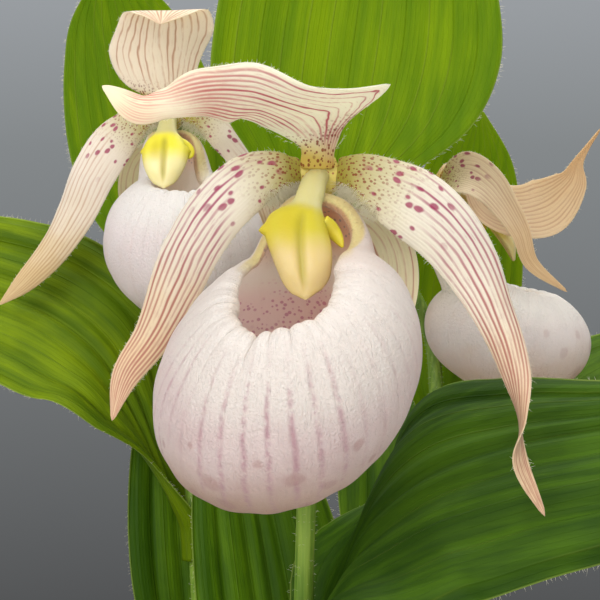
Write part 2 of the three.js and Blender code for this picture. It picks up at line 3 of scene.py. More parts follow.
import bpy
import numpy as np
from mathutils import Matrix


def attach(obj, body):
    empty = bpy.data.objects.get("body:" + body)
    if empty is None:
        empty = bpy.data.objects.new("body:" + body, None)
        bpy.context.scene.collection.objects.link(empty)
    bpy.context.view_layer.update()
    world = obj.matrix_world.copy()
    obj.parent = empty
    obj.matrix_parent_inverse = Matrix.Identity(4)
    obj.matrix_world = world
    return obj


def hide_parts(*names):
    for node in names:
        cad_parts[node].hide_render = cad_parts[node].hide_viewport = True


# Shapes are worked out in millimetres and stored in metres: x right, y back, z up.
MM = 0.001

POT = dict(
    base=56, body_top=70, rim=75, rim_height=15, height=122, wall=2.2, floor=3, step=2, ease=1.2,
    sides=144,
)
# The mix falls towards the pot's wall, lies a little below its nominal top, and keeps clear of the pot.
SOIL_TOP = 110
SOIL_RADIUS = 66.4
SOIL_FALL = 2.5
SOIL_DIP = 1.5
SOIL_GAP = dict(side=1.4, floor=0.35)
SOIL_GRID = (40, 160)

# Bark chips: how many, their smallest and largest half sizes, and the clear space round each stem.
CHIP_COUNT = 420
CHIP_SIZES = ((2.6, 1.8, 0.8), (6.4, 4.2, 2.0))
CHIP_FREE = 7

FLOOR_RADIUS = 0.58
CAMERA_PLACE = (0, -0.2855, 0.3775)
CAMERA_PITCH = 8
CAMERA_LENS = 66
SENSOR = 36

# Lamps are discs: place, size and power, in metres and watts. The sky is grey, lighter towards the top.
LAMP_TARGET = (0, -0.02, 0.33)
LAMPS = {
    "key": ((-0.42, -0.8, 0.95), 0.9, 10),
    "fill": ((0.15, -0.95, 0.45), 0.8, 3.6),
    "top": ((0.1, 0.25, 1.15), 0.9, 7.5),
}
SKY = [(0.3, (82, 83, 84)), (0.5, (133, 137, 139)), (0.56, (153, 157, 161)), (0.9, (190, 192, 196))]

# A lip widens by its taper upwards, and its neck blends in between two angles. Its margin rolls inwards:
# by how much, through how many degrees, and how tightly in front, in the keyhole and at its left side.
LIP_WALL = 1.1
LIP_TAPER = 0.05
LIP_NECK = (6, 30)
LIP_ROLL = 1.4
LIP_ROLL_SWEEP = 205
LIP_ROLL_RADII = (1.5, 0.75, 0.3)

LEAF_THICKNESS = 0.6
PETAL_THICKNESS = 0.5
LEAF_GRID = (80, 56)
BRACT_GRID = (80, 48)
COLUMN_GRID = (80, 44)
STEM_GRID = (220, 30)
PETAL_GRIDS = {"a": (150, 44), "b": (96, 32), "c": (96, 32)}

# Hairs: how many, and their width and lengths in millimetres.
STEM_HAIRS = dict(count=1100, width=0.035, lengths=(0.5, 1.3))
LEAF_HAIRS = dict(leaf=140, bract=260, width=0.04, lengths=(0.5, 1.5))
TUFT_HAIRS = {"a": 700, "b": 300, "c": 300}
TUFT_LENGTHS = (2, 5)
EDGE_HAIRS = {"a": 160, "b": 70, "c": 70}
EDGE_LENGTHS = (0.3, 0.9)
BLOOM_HAIR_WIDTH = 0.05

BLOOMS = {
    "a": dict(origin=(4, -53, 371), scale=1),
    "b": dict(origin=(-38.7, 44, 386.7), scale=0.92),
    "c": dict(origin=(46, 61, 363), scale=0.95),
}

STEM_RADIUS = 2.4
STEMS = {
    "a": dict(
        spine=[(5, -24, 78), (4, -25, 140), (2, -27, 205), (1, -28, 265), (2.5, -28.5, 315),
               (4, -30, 345), (4, -34, 363), (4, -42, 371), (4, -48.9, 371)],
        radii=[2.7, 2.6, 2.5, 2.4, 2.3, 2.2, 2.9, 3.4, 5],
    ),
    "b": dict(
        spine=[(-24, 22, 78), (-27, 27, 140), (-29, 31, 200), (-32, 37, 262), (-37, 54, 317),
               (-38.7, 64, 350), (-38.7, 62, 376), (-38.7, 54.5, 386.7), (-38.7, 47.8, 386.7)],
        radii=[2.7, 2.6, 2.5, 2.4, 2.3, 2.2, 2.7, 3.2, 4.7],
    ),
    "c": dict(
        spine=[(28, 22, 78), (34, 32, 140), (40, 45, 200), (44, 60, 262), (44, 75, 312),
               (32, 79, 338), (22, 70, 355), (31, 62, 363), (42.1, 61, 363)],
        radii=[2.7, 2.6, 2.5, 2.4, 2.3, 2.2, 2.7, 3.2, 4.8],
    ),
}

# Leaf angles are in degrees, with azimuth 0 at +X and 90 at the back.
LEAF_OUTLINE = [0.42, 0.78, 0.96, 1, 0.95, 0.82, 0.58]
LEAVES = {
    "a_low": dict(height=146, azimuth=250, length=148, width=66, climb=[68, -6], curl=(24, 14)),
    "a_middle": dict(height=172, azimuth=116, length=140, width=46, climb=[82, 56]),
    "a_top": dict(
        height=231.5, azimuth=-14, length=166, width=70, climb=[78, 76, 42, 18, 14, 10, 6],
        launch=0, lean=40, curl=(-30, -20), outline=[0.7, 1, 1, 0.94, 0.86, 0.72, 0.46],
        upper=[0.9, 1.25, 1.14, 0.74, 0.47, 0.3, 0.2],
    ),
    "a_bract": dict(
        height=328, azimuth=90, length=126, width=70, climb=[82, 86], sheath=10,
        curl=(14, 10), outline=[0.22, 0.42, 0.86, 1, 0.92, 0.74, 0.46],
        upper=[0.22, 0.52, 0.885, 0.945, 0.9, 0.74, 0.46], drift=0.14,
    ),
    "b_low": dict(height=146, azimuth=205, length=146, width=64, climb=[68, -8], curl=(24, 14)),
    "b_middle": dict(height=178, azimuth=106, length=130, width=42, climb=[82, 60]),
    "b_top": dict(
        height=252, azimuth=168, length=146, width=55, climb=[68, 66, 56, 26, 16, 10, 6],
        launch=0, lean=-56, clearance=1.9,
    ),
    "b_bract": dict(
        height=318, azimuth=90, length=114, width=52, climb=[56, 98], launch=0, sheath=10,
        curl=(14, 10), drift=-0.23,
    ),
    "c_low": dict(height=146, azimuth=-10, length=146, width=64, climb=[66, -10], curl=(24, 14)),
    "c_middle": dict(height=190, azimuth=85, length=146, width=62, climb=[70, 10]),
    "c_top": dict(height=226, azimuth=20, length=140, width=60, climb=[64, 0]),
    "c_bract": dict(
        height=262, azimuth=86, length=129, width=46, climb=[38, 100], sheath=10,
        curl=(14, 10), drift=0.12,
    ),
}

# Petals and sepals, in each bloom's own millimetres.
PETALS = {
    "a_left_petal": dict(
        spine=[(-3.9, 3, 0.2), (-8, -2, 1), (-14.5, -4, -0.8), (-21, -4.5, -6.5), (-26.5, -2, -14.5),
               (-31, 1.5, -23.5), (-36, 3, -34), (-42, 2, -43), (-44.6, -1, -52.4)],
        side=[(0, 0.2, 1), (0.1, 0.2, 1), (-0.35, 0.15, 1), (-0.8, 0.1, 0.6), (-1, 0.1, 0.3),
              (-1, 0.1, 0.2), (-1, 0.2, 0.2), (-1, 0.2, 0.1), (-1, 0.1, -0.2)],
        left=[1.9, 4.6, 6.4, 6.6, 6.4, 6, 4.6, 3.2, 0.35],
        curl=[15, 30, 40, 38, 34, 30, 30, 20, 0],
        wave=(0.5, 1.6, 0.1),
    ),
    "a_right_petal": dict(
        spine=[(3.9, 3, 0.2), (7.5, -1.5, 0.6), (13.5, -4.5, -2), (20, -5.5, -5.6), (26.5, -5, -11.2),
               (32.3, -4, -19), (37, -4.5, -28.5), (40.4, -6, -38.5), (42, -8.5, -49.5),
               (42, -10, -59), (47, -12, -70)],
        side=[(0, 0.2, 1), (0, 0.2, 1), (0.35, 0.1, 1), (0.6, 0.1, 0.8), (0.9, 0.1, 0.6),
              (1, 0.1, 0.4), (1, 0.1, 0.2), (0.9, -0.3, 0.2), (0.2, -1, 0), (-0.8, -0.6, 0),
              (-1, 0.2, 0)],
        left=[1.9, 4.6, 6.8, 7.8, 7.4, 6.4, 5, 3.6, 2.6, 2.3, 0.35],
        curl=[-15, -26, -34, -30, -30, -32, -40, -34, -20, 0, 0],
        wave=(0.5, 1.8, 0.3),
    ),
    "a_dorsal_sepal": dict(
        spine=[(-0.3, 3, 4.2), (-0.3, -0.5, 7.5), (-3.4, -6, 11.6), (-9.4, -11, 14.3),
               (-15.2, -14, 15.4), (-22.2, -16, 15.6), (-29.5, -17, 14.2), (-35.5, -17, 14.2),
               (-42.5, -15, 18)],
        side=[(1, 0, 0), (1, -0.1, 0.2), (0.85, -0.45, 0.16), (0.45, -0.8, 0.3), (0, -0.8, 0.6),
              (0, -0.6, 0.75), (0, 0.1, 0.8), (0, 0.6, 0.6), (0.3, 0.6, 0.5)],
        left=[2.4, 6.2, 10.4, 11.2, 9.5, 4.9, 2.6, 3.8, 0.4],
        right=[2.4, 6.7, 15.6, 11.4, 8.6, 5.9, 4.3, 5.8, 0.4],
        curl=[20, 24, 10, 8, 24, 24, 40, 40, 0],
        wave=(0.6, 1.3, 0.2),
    ),
    "a_synsepal": dict(
        spine=[(0.8, 5.5, -5.7), (4.2, 10.2, -10.2), (9, 12.5, -17), (10.5, 14, -27),
               (9, 14.5, -37), (7, 13, -47)],
        side=[(1, 0, 0), (1, 0, 0.3), (1, -0.1, 0.1), (1, -0.2, -0.1), (1, -0.2, -0.2),
              (1, -0.2, -0.2)],
        left=[2, 7, 12.5, 12.5, 8, 0.6],
        curl=[20, 20, 25, 25, 20, 0],
        wave=(0.6, 1.2, 0),
    ),
    "b_left_petal": dict(
        spine=[(-3.9, 3, 0.2), (-10, -1, -2.5), (-18, -2.5, -9), (-25, -2.5, -19.5),
               (-31, -1.5, -31.5), (-38.5, -2, -43.5), (-47, -4, -53.5), (-55, -7, -61)],
        side=[(0, 0.2, 1), (-0.3, 0.1, 1), (-0.8, 0.1, 0.6), (-1, 0.1, 0.3), (-1, 0.2, 0.2),
              (-1, 0.3, 0.5), (-0.8, 0.2, 0.6), (-0.8, 0.1, 0.6)],
        left=[1.9, 5, 7.4, 7.6, 7, 5.5, 3.6, 0.35],
        curl=[15, 30, 34, 34, 30, 30, 20, 0],
        wave=(0.6, 1.6, 0.1),
    ),
    "b_right_petal": dict(
        spine=[(3.9, 3, 0.2), (10.5, -1, -0.5), (19, -2, -5.5), (26, 1, -14), (31.5, 4, -25),
               (34.5, 6, -37), (36, 6, -48), (40, 4, -57)],
        side=[(0, 0.2, 1), (0.3, 0.1, 1), (0.8, 0.1, 0.6), (1, 0.1, 0.3), (1, 0.1, 0.2),
              (1, 0.4, 0.2), (0.3, 1, 0.1), (-1, 0.3, 0.2)],
        left=[1.9, 5, 7.4, 7.4, 6.4, 4.8, 3, 0.35],
        curl=[-15, -30, -34, -34, -30, -30, -20, 0],
        wave=(0.6, 1.6, 0.3),
    ),
    "b_dorsal_sepal": dict(
        spine=[(-0.3, 3, 4.2), (-1, 0, 9), (-1.4, -4.5, 17), (-1.2, -10, 24.5), (0, -17, 29.6),
               (1, -24, 28.6), (1.5, -29.5, 25)],
        side=[(1, 0, 0), (1, 0, 0)],
        left=[2.4, 14, 17.5, 13.6, 10.5, 7, 0.5],
        right=[2.4, 8.5, 12.5, 16.6, 14.8, 9.5, 0.5],
        curl=[20, 20, 18, 14, 4, 0, 0],
        wave=(0.8, 1.3, 0.2),
    ),
    "b_synsepal": dict(
        spine=[(-0.6, 5.6, -5.7), (-3, 11.4, -10.2), (-6, 14, -19), (-7, 15.5, -29), (-6, 15, -39),
               (-5, 13, -48)],
        side=[(1, 0, 0), (1, 0, 0)],
        left=[2, 7, 12, 12, 8, 0.6],
        curl=[20, 20, 25, 25, 20, 0],
        wave=(0.6, 1.2, 0),
    ),
    "c_left_petal": dict(
        spine=[(-3, -3.9, 0.2), (0, -10, 4.9), (4.4, -17, 6.7), (9.6, -22, 3.4), (14.6, -24, -3),
               (19.6, -25, -11.3), (23.8, -24, -21.3), (35.3, -23, -30.2)],
        side=[(0.3, 0, 1), (0.2, 0, 1), (0.2, 0, 1), (0.55, 0, 0.83), (0.8, 0, 0.6), (0.95, 0.1, 0.4),
              (1, 0.2, 0.3), (0.6, 0, 0.8)],
        left=[1.9, 5, 7, 6, 4.4, 3.2, 2.4, 0.35],
        curl=[15, 30, 34, 34, 30, 20, 10, 0],
        wave=(0.6, 1.6, 0.1),
    ),
    "c_right_petal": dict(
        spine=[(-2.2, 4, 0.2), (1.5, 8.5, 3), (5.5, 16.5, 3.5), (10, 23, -1), (14, 27, -9),
               (17, 29, -19), (19, 30, -30), (23, 31, -40)],
        side=[(0, 0.2, 1), (0.2, 0.3, 1), (0.5, 0.8, 0.8), (0.6, 0.8, 0.3), (0.6, 0.9, 0.3),
              (0.3, 1, 0.2), (-0.6, 0.8, 0.1), (-1, 0.2, 0)],
        left=[1.9, 4.6, 6.4, 6.8, 6, 4.6, 3, 0.35],
        curl=[-15, -30, -34, -34, -30, -20, -10, 0],
        wave=(0.6, 1.6, 0.3),
    ),
    "c_dorsal_sepal": dict(
        spine=[(-3, -0.3, 4.2), (0.5, -0.8, 8.2), (7.1, -4, 2.8), (14.2, -9, -3.8), (22.2, -11, -5.9),
               (30.8, -11, -4), (38.5, -9, 3), (41.3, -8, 10.6), (48.3, -7, 20.8)],
        side=[(0, -1, 0), (0, -1, -0.1), (0, -0.9, -0.5), (0.1, -0.5, -0.8), (0.05, -0.3, -1),
              (0.3, -0.2, -0.95), (0.75, -0.2, -0.65), (0.9, 0.2, -0.3), (0.6, 0.8, -0.4)],
        left=[2.4, 5.5, 7.5, 8.2, 8.6, 9.4, 5.6, 1.7, 0.4],
        curl=[-20, -20, -18, -14, -14, -16, -20, -20, 0],
        wave=(0.8, 1.3, 0.2),
    ),
    "c_synsepal": dict(
        spine=[(-5.2, 0.2, -5.6), (-9.7, 0, -10.2), (-13, -0.5, -19), (-13.5, -1, -29),
               (-12.5, -1, -38), (-10.5, -1, -46)],
        side=[(0, 1, 0), (0, 1, 0)],
        left=[2, 7, 11.5, 11.5, 8, 0.6],
        curl=[-20, -20, -25, -25, -20, 0],
        wave=(0.6, 1.2, 0),
    ),
}

# A lip is a hollow pouch. Its radii lie along tall, then back, then across. Its rim is given as
# (degrees round from the back, degrees down from the mouth's axis), the creases in its margin as (degrees
# round from the back, depth, width in degrees), and its blotches as (degrees round from the back, degrees
# past the rim, size).
LIPS = {
    "a": dict(
        centre=(-6.5, -17, -39), top=(1.3, 1.3, -4.6), mouth=(-0.05, -0.47, 0.88),
        tall=(-0.84, -0.28, 0.78), radii=(23, 29.2, 30.2), grid=(300, 84),
        rim=[(0, 48), (6, 50), (12, 53), (18, 53.5), (22, 52), (27, 47), (34, 38), (42, 32), (52, 28.5),
             (62, 25.5), (82, 25.5), (95, 25.5), (107, 27.5), (122, 29.5), (134, 31.3), (146, 31),
             (160, 31.5), (172, 31.8), (180, 32.3), (-164, 33), (-144, 30.5), (-122, 29.5), (-105, 27),
             (-72, 29), (-60, 33.5), (-47, 41), (-38, 47), (-30, 50), (-20, 50), (-10, 48)],
        creases=[(185, 1.7, 5), (171.5, 0.8, 4), (157, 0.8, 4.5), (147, 0.3, 3), (137, 0.6, 4.5),
                 (128, 0.25, 3), (119, 0.5, 4), (108, 0.3, 3.5), (98, 0.4, 4), (86, 0.3, 3.5),
                 (75, 0.3, 3.5), (196, 0.45, 4), (208, 0.7, 4.5), (219, 0.3, 3.5), (229, 0.55, 4),
                 (241, 0.35, 4), (252, 0.4, 4), (264, 0.25, 3.5), (275, 0.25, 4)],
        blotches=[(193.5, 64, 1.9), (162, 58, 1.8), (148.5, 68, 1.6), (157.5, 83, 1.9), (190, 76, 2.2),
                  (137, 50, 1.2), (174, 50, 0.9), (203, 52, 0.8), (170, 88, 1.3), (206, 80, 1.5),
                  (128, 66, 1.3), (222, 66, 1.0)],
    ),
    "b": dict(
        centre=(6, -15, -41), top=(0, 1.6, -4.7), mouth=(0.02, -0.2, 0.98),
        tall=(0.02, -0.2, 0.98), radii=(23.5, 28, 25), grid=(200, 60),
        rim=[(0, 35), (14, 35), (34, 28), (180, 28), (-34, 28), (-14, 35)],
        creases=[(70, 0.3, 4), (88, 0.4, 5), (103, 0.3, 4), (121, 0.5, 5), (134, 0.3, 4), (152, 0.6, 5),
                 (168, 0.4, 4), (183, 0.8, 5), (196, 0.35, 4), (214, 0.5, 5), (229, 0.3, 4),
                 (246, 0.45, 5), (262, 0.3, 4), (281, 0.3, 5)],
        blotches=[(150, 88, 1.4), (205, 92, 1.2)],
    ),
    "c": dict(
        centre=(21.5, 2, -48.5), top=(-0.6, 0, -4.9), mouth=(0.22, 0.03, 0.97),
        tall=(0.22, 0.03, 0.97), radii=(19.3, 28.5, 24.2), grid=(200, 60),
        rim=[(0, 41), (14, 40), (34, 30), (180, 30), (-34, 30), (-14, 40)],
        creases=[(75, 0.35, 5), (92, 0.3, 4), (110, 0.4, 5), (125, 0.3, 4), (143, 0.5, 5), (160, 0.4, 4),
                 (175, 0.7, 5), (191, 0.4, 4), (205, 0.5, 5), (223, 0.3, 4), (239, 0.4, 5),
                 (255, 0.3, 4), (274, 0.3, 5)],
        blotches=[(170, 40, 1.5), (205, 52, 2.0), (226, 44, 1.6), (240, 58, 2.2), (258, 46, 1.5),
                  (215, 70, 2.4), (188, 62, 1.3)],
    ),
}

# The column carries the staminode, the shield over the mouth of the lip. Its ears are how far the shield
# juts out at its left and its right, and its flap is the line along which the anther beside it lies.
COLUMN_DEPTH = [1.8, 2, 1.7, 1.5, 1.4, 0.4]
COLUMNS = {
    "a": dict(
        spine=[(0, 2.8, 0), (-1.2, -2, -1.6), (-2.6, -9.5, -5.7), (-3.9, -15.5, -10.8),
               (-3.7, -20, -17), (-2.9, -22.5, -23)],
        side=[(1, 0, -0.05), (1, 0, 0)],
        left=[2.5, 2.6, 2.75, 2.8, 3.4, 7.1, 7.1, 5.9, 4.8, 3.6, 1.4],
        right=[2.3, 2.5, 2.7, 3, 3.1, 4.6, 5.8, 6.3, 6, 4.9, 1.6],
        ears=(1.4, 0),
        flap=[(0.4, -13.2, -8.6), (1.6, -12.9, -9.6), (2.6, -12.8, -10.6), (3.4, -13.1, -11.6),
              (4.0, -13.6, -12.6), (4.5, -14.2, -13.6)],
    ),
    "b": dict(
        spine=[(0, 2.8, 0), (0, -2.5, -2.4), (0.2, -9.5, -6.4), (0.4, -15.5, -12),
               (0.5, -19.5, -17.5), (0.6, -22, -23)],
        side=[(1, 0, 0), (1, 0, 0)],
        left=[2.5, 2.6, 2.75, 3, 3.6, 6.3, 7.2, 6.8, 5.8, 4.2, 1.5],
        ears=(0.8, 0.8),
        flap=[(4, -13, -9), (6, -13, -10), (7.6, -13, -11.4), (8, -13.4, -12.8), (7.4, -14, -13.6),
              (6.6, -14.4, -13.4)],
    ),
    "c": dict(
        spine=[(-2.8, 0, 0), (2.5, 0, -1.6), (10, 0.2, -5.7), (16, 0.4, -10.8), (20.5, 0.5, -17),
               (23, 0.6, -23)],
        side=[(0, 1, 0), (0, 1, 0)],
        left=[2.5, 2.6, 2.75, 3, 3.6, 6.4, 7.4, 7, 6, 4.3, 1.5],
        ears=(0.8, 0.8),
        flap=[(13, 4, -8), (13, 6, -9), (13, 7.6, -10.4), (13.4, 8, -11.8), (14, 7.4, -12.6),
              (14.4, 6.6, -12.4)],
    ),
}

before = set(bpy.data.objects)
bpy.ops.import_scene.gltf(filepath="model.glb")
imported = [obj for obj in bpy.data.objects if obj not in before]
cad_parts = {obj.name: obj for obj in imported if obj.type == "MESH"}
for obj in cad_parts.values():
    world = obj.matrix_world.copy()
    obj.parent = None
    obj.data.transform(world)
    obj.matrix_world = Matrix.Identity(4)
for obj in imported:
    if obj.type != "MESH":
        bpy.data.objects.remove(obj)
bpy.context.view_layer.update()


# Curves and surfaces

def unit(v):
    return v / np.maximum(np.linalg.norm(v, axis=-1, keepdims=True), 1e-9)


def dot(a, b):
    return (a * b).sum(axis=-1, keepdims=True)


def smooth(low, high, x):
    t = np.clip((x - low) / (high - low), 0, 1)
    return t * t * (3 - 2 * t)


def mix(a, b, t):
    return a + (b - a) * t


def track(values, u):
    """A smooth value at u, from 0 to 1, through evenly spaced control values."""
    p = np.asarray(values, float)
    flat = p.ndim == 1
    if flat:
        p = p[:, None]
    last = len(p) - 1
    p = np.vstack([2 * p[0] - p[1], p, 2 * p[-1] - p[-2]])
    x = np.clip(np.asarray(u, float), 0, 1) * last
    i = np.minimum(x.astype(int), last - 1)
    t = (x - i)[..., None]
    a, b, c, d = p[i], p[i + 1], p[i + 2], p[i + 3]
    out = b + 0.5 * t * (c - a + t * (2 * a - 5 * b + 4 * c - d + t * (3 * (b - c) + d - a)))
    return out[..., 0] if flat else out


def surface(blade, u, v):
    """The middle surface of a petal or leaf, and its half width.

    Curl bends each half into an arc, in degrees. A shoulder widens both halves and a point the right one.
    """
    step = 0.004
    centre = track(blade["spine"], u)
    ahead = track(blade["spine"], np.minimum(u + step, 1))
    behind = track(blade["spine"], np.maximum(u - step, 0))
    tangent = unit(ahead - behind)
    raw = track(blade["side"], u)
    side = unit(raw - dot(raw, tangent) * tangent)
    normal = np.cross(tangent, side)
    left = track(blade["left"], u)
    right = track(blade.get("right", blade["left"]), u)
    tip = np.sqrt(np.clip((1 - u) / blade.get("tip", 0.012), 0, 1))
    left, right = left * tip, right * tip
    if "shoulder" in blade:
        at, wide, more = blade["shoulder"]
        extra = more * np.exp(-((u - at) / wide) ** 2)
        left, right = left + extra, right + extra
    if "point" in blade:
        at, wide, more = blade["point"]
        right = right + more * np.exp(-np.abs((u - at) / wide) ** 1.3)
    curl = np.radians(track(blade["curl"], u))
    bend = curl / np.maximum((left + right) / 2, 0.2)
    bend = np.where(np.abs(bend) < 1e-5, 1e-5, bend)
    half = np.where(v > 0, right, left)
    s = v * half
    lift = (1 - np.cos(bend * s)) / bend
    if "wave" in blade:
        height, count, phase = blade["wave"]
        turn = 2 * math.pi * (count * u + phase + 0.22 * np.sign(v))
        lift = lift + height * np.sin(math.pi * u) * v * v * np.sin(turn)
    if "frill" in blade:
        height, count = blade["frill"]
        turn = 2 * math.pi * (count * u + 0.13 * np.sin(9 * u) + 0.3 * np.sign(v))
        lift = lift + height * np.sin(math.pi * u) ** 0.5 * np.abs(v) ** 5 * np.sin(turn)
    if "pleats" in blade:
        depth, count = blade["pleats"]
        fade = smooth(0.12, 0.32, u) * smooth(1.02, 0.75, u)
        spread = v + 0.03 * np.sin(5 * u + 3 * v)
        fold = np.cos(2 * math.pi * count * spread) - 0.35 * np.cos(4 * math.pi * count * spread)
        keel = np.exp(-(v / 0.06) ** 2)
        lift = lift + depth * fade * (0.5 * fold * (1 - keel) - keel) * smooth(0, 6, half)
    point = centre + side * (np.sin(bend * s) / bend)[..., None] + normal * lift[..., None]
    return point, half


def leaf_blade(stem, leaf):
    """A leaf as a blade: a sheath round its stem, then a spine that climbs or falls along its length."""
    sheath = leaf.get("sheath", 14)
    outline = leaf.get("outline", LEAF_OUTLINE)
    first_curl, last_curl = leaf.get("curl", (20, 14))
    climb = leaf["climb"]
    launch = leaf.get("launch", (90 - climb[0]) / 2)
    wrap = 150
    radius = STEM_RADIUS + leaf.get("clearance", 1.2)
    angle = math.radians(leaf["azimuth"])
    outward = np.array([math.cos(angle), math.sin(angle), 0])
    across = np.array([-math.sin(angle), math.cos(angle), 0])
    base = stem_point(stem, leaf["height"])
    top = stem_point(stem, leaf["height"] + sheath)
    spine = [
        base + outward * radius,
        (base + top) / 2 + outward * radius,
        top + outward * (radius + 0.6),
    ]
    steps = len(outline) + 1
    for i in range(1, steps + 1):
        f = (i - 0.5) / steps
        slope = math.radians(float(track(climb, f)) + (launch if i == 1 else 0))
        move = outward * math.cos(slope)
        move[0] += leaf.get("drift", 0)
        move[2] = math.sin(slope)
        spine.append(spine[-1] + move * leaf["length"] / steps)
    side = []
    for i in range(len(spine)):
        f = max(0, i - 2) / (len(spine) - 3)
        tilt = math.radians(leaf.get("lean", 0)) * min(1, 2.4 * f)
        side.append(across * math.cos(tilt) + np.array([0, 0, math.sin(tilt)]))
    half_sheath = math.radians(wrap) * radius
    left = [half_sheath] * 3 + [k * leaf["width"] / 2 for k in outline] + [0.5]
    right = [half_sheath] * 3 + [k * leaf["width"] / 2 for k in leaf.get("upper", outline)] + [0.5]
    curl = [wrap, wrap, 112, 58]
    curl += [mix(first_curl, last_curl, i / (steps - 2)) for i in range(steps - 1)]
    return dict(spine=spine, side=side, left=left, right=right, curl=curl)


def stem_point(stem, height):
    """Where a stem's middle line passes a height."""
    u = np.linspace(0, 1, 401)
    points = track(stem["spine"], u)
    return points[np.argmin(np.abs(points[:, 2] - height))]


def grid_normals(points, wrapped=False):
    """Unit normals of a grid of points, along its rows crossed with across its columns."""
    if wrapped:
        along = np.roll(points, -1, 0) - np.roll(points, 1, 0)
    else:
        along = np.gradient(points, axis=0)
    return unit(np.cross(along, np.gradient(points, axis=1)))


# Meshes

def make_mesh(name, points, faces, layers=None):
    mesh = bpy.data.meshes.new(name)
    mesh.from_pydata((np.asarray(points) * MM).tolist(), [], faces)
    for key, values in (layers or {}).items():
        layer = mesh.attributes.new(key, "FLOAT_VECTOR", "POINT")
        layer.data.foreach_set("vector", np.ascontiguousarray(values, np.float32).ravel())
    mesh.polygons.foreach_set("use_smooth", np.ones(len(mesh.polygons), bool))
    mesh.update()
    return mesh


def add_piece(name, mesh, material, slot, *nodes):
    piece = bpy.data.objects.new(name, mesh)
    bpy.context.scene.collection.objects.link(piece)
    mesh.materials.append(material)
    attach(piece, "root")
    if nodes:
        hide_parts(*nodes)
    return piece


def sheet_faces(rows, columns, wrapped=False):
    """Quads that join two grids of points along their edges into one closed sheet."""
    count = rows * columns
    i = np.arange(rows if wrapped else rows - 1)
    j = np.arange(columns - 1)
    i, j = np.meshgrid(i, j, indexing="ij")
    k = (i + 1) % rows
    front = np.stack([i * columns + j, k * columns + j, k * columns + j + 1, i * columns + j + 1], -1)
    front = front.reshape(-1, 4)
    back = front[:, ::-1] + count
    sides = []
    i = np.arange(rows if wrapped else rows - 1)
    k = (i + 1) % rows
    for column, order in ((0, -1), (columns - 1, 1)):
        a, b = i * columns + column, k * columns + column
        edge = np.stack([a, b, b + count, a + count], -1)
        sides.append(edge[:, ::order])
    if not wrapped:
        j = np.arange(columns - 1)
        for row, order in ((0, 1), (rows - 1, -1)):
            a, b = row * columns + j, row * columns + j + 1
            edge = np.stack([a, b, b + count, a + count], -1)
            sides.append(edge[:, ::order])
    return np.vstack([front, back] + sides).tolist()


def sheet_mesh(name, middle, half_depth, layers, wrapped=False):
    """A closed sheet round a middle surface. Each layer is (front values, back values)."""
    normals = grid_normals(middle, wrapped)
    depth = half_depth[..., None] * normals
    points = np.vstack([(middle + depth).reshape(-1, 3), (middle - depth).reshape(-1, 3)])
    values = {
        key: np.vstack([front.reshape(-1, 3), back.reshape(-1, 3)])
        for key, (front, back) in layers.items()
    }
    rows, columns = middle.shape[:2]
    return make_mesh(name, points, sheet_faces(rows, columns, wrapped), values)


def blade_grid(blade, rows, columns):
    """A blade's middle surface as a grid, with its columns closer together towards the margins."""
    u = np.linspace(0, 1, rows + 1)
    v = np.linspace(-1, 1, columns + 1)
    v = np.sin(v * math.pi / 2) * 0.35 + v * 0.65
    u, v = np.meshgrid(u, v, indexing="ij")
    point, half = surface(blade, u, v)
    steps = np.linalg.norm(np.diff(point[:, columns // 2], axis=0), axis=1)
    along = np.concatenate([[0], np.cumsum(steps)])
    along = np.repeat(along[:, None], columns + 1, 1)
    return point, u, v, half, along


def blade_layers(u, v, half, along):
    """Where each point lies on its blade: shares of it, then millimetres."""
    share = np.stack([u, v, half], -1)
    front = np.stack([along, v * half, np.ones_like(u)], -1)
    back = np.stack([along, v * half, -np.ones_like(u)], -1)
    return {"share": (share, share), "flat": (front, back)}


def blade_mesh(name, blade, grid, thickness, place):
    """A blade as a thin closed sheet, thinner towards its margins and its tip."""
    rows, columns = grid
    point, u, v, half, along = blade_grid(blade, rows, columns)
    point = place(point)
    edge = np.sqrt(np.clip(1.02 - v ** 6, 0, 1)) * np.clip(0.4 + (1 - u) * 20, 0, 1)
    depth = thickness / 2 * np.maximum(edge, 0.14)
    return sheet_mesh(name, point, depth, blade_layers(u, v, half, along))


def tube_grid(spine, radii, rings, sides):
    """What a tube is made from: its rings' centres, sizes and directions, with no twist along it."""
    step = 0.004
    u = np.linspace(0, 1, rings + 1)
    centre = track(spine, u)
    tangent = unit(track(spine, np.minimum(u + step, 1)) - track(spine, np.maximum(u - step, 0)))
    radius = track(radii, u)
    across = np.array([1.0, 0, 0])
    frames = []
    for t in tangent:
        across = unit(across - np.dot(across, t) * t)
        frames.append((across, np.cross(t, across)))
    first = np.array([f[0] for f in frames])
    second = np.array([f[1] for f in frames])
    a = 2 * math.pi * np.arange(sides) / sides
    return u, a, centre, first, second, radius, tangent


def pole_faces(rings, sides):
    """Faces of a tube of rings, closed by a point at each end."""
    i, k = np.meshgrid(np.arange(rings - 1), np.arange(sides), indexing="ij")
    m = (k + 1) % sides
    quads = np.stack([i * sides + k, i * sides + m, (i + 1) * sides + m, (i + 1) * sides + k], -1)
    k = np.arange(sides)
    m = (k + 1) % sides
    start, end = rings * sides, rings * sides + 1
    foot = np.stack([np.full(sides, start), m, k], -1)
    head = np.stack([np.full(sides, end), (rings - 1) * sides + k, (rings - 1) * sides + m], -1)
    return quads.reshape(-1, 4).tolist() + foot.tolist() + head.tolist()


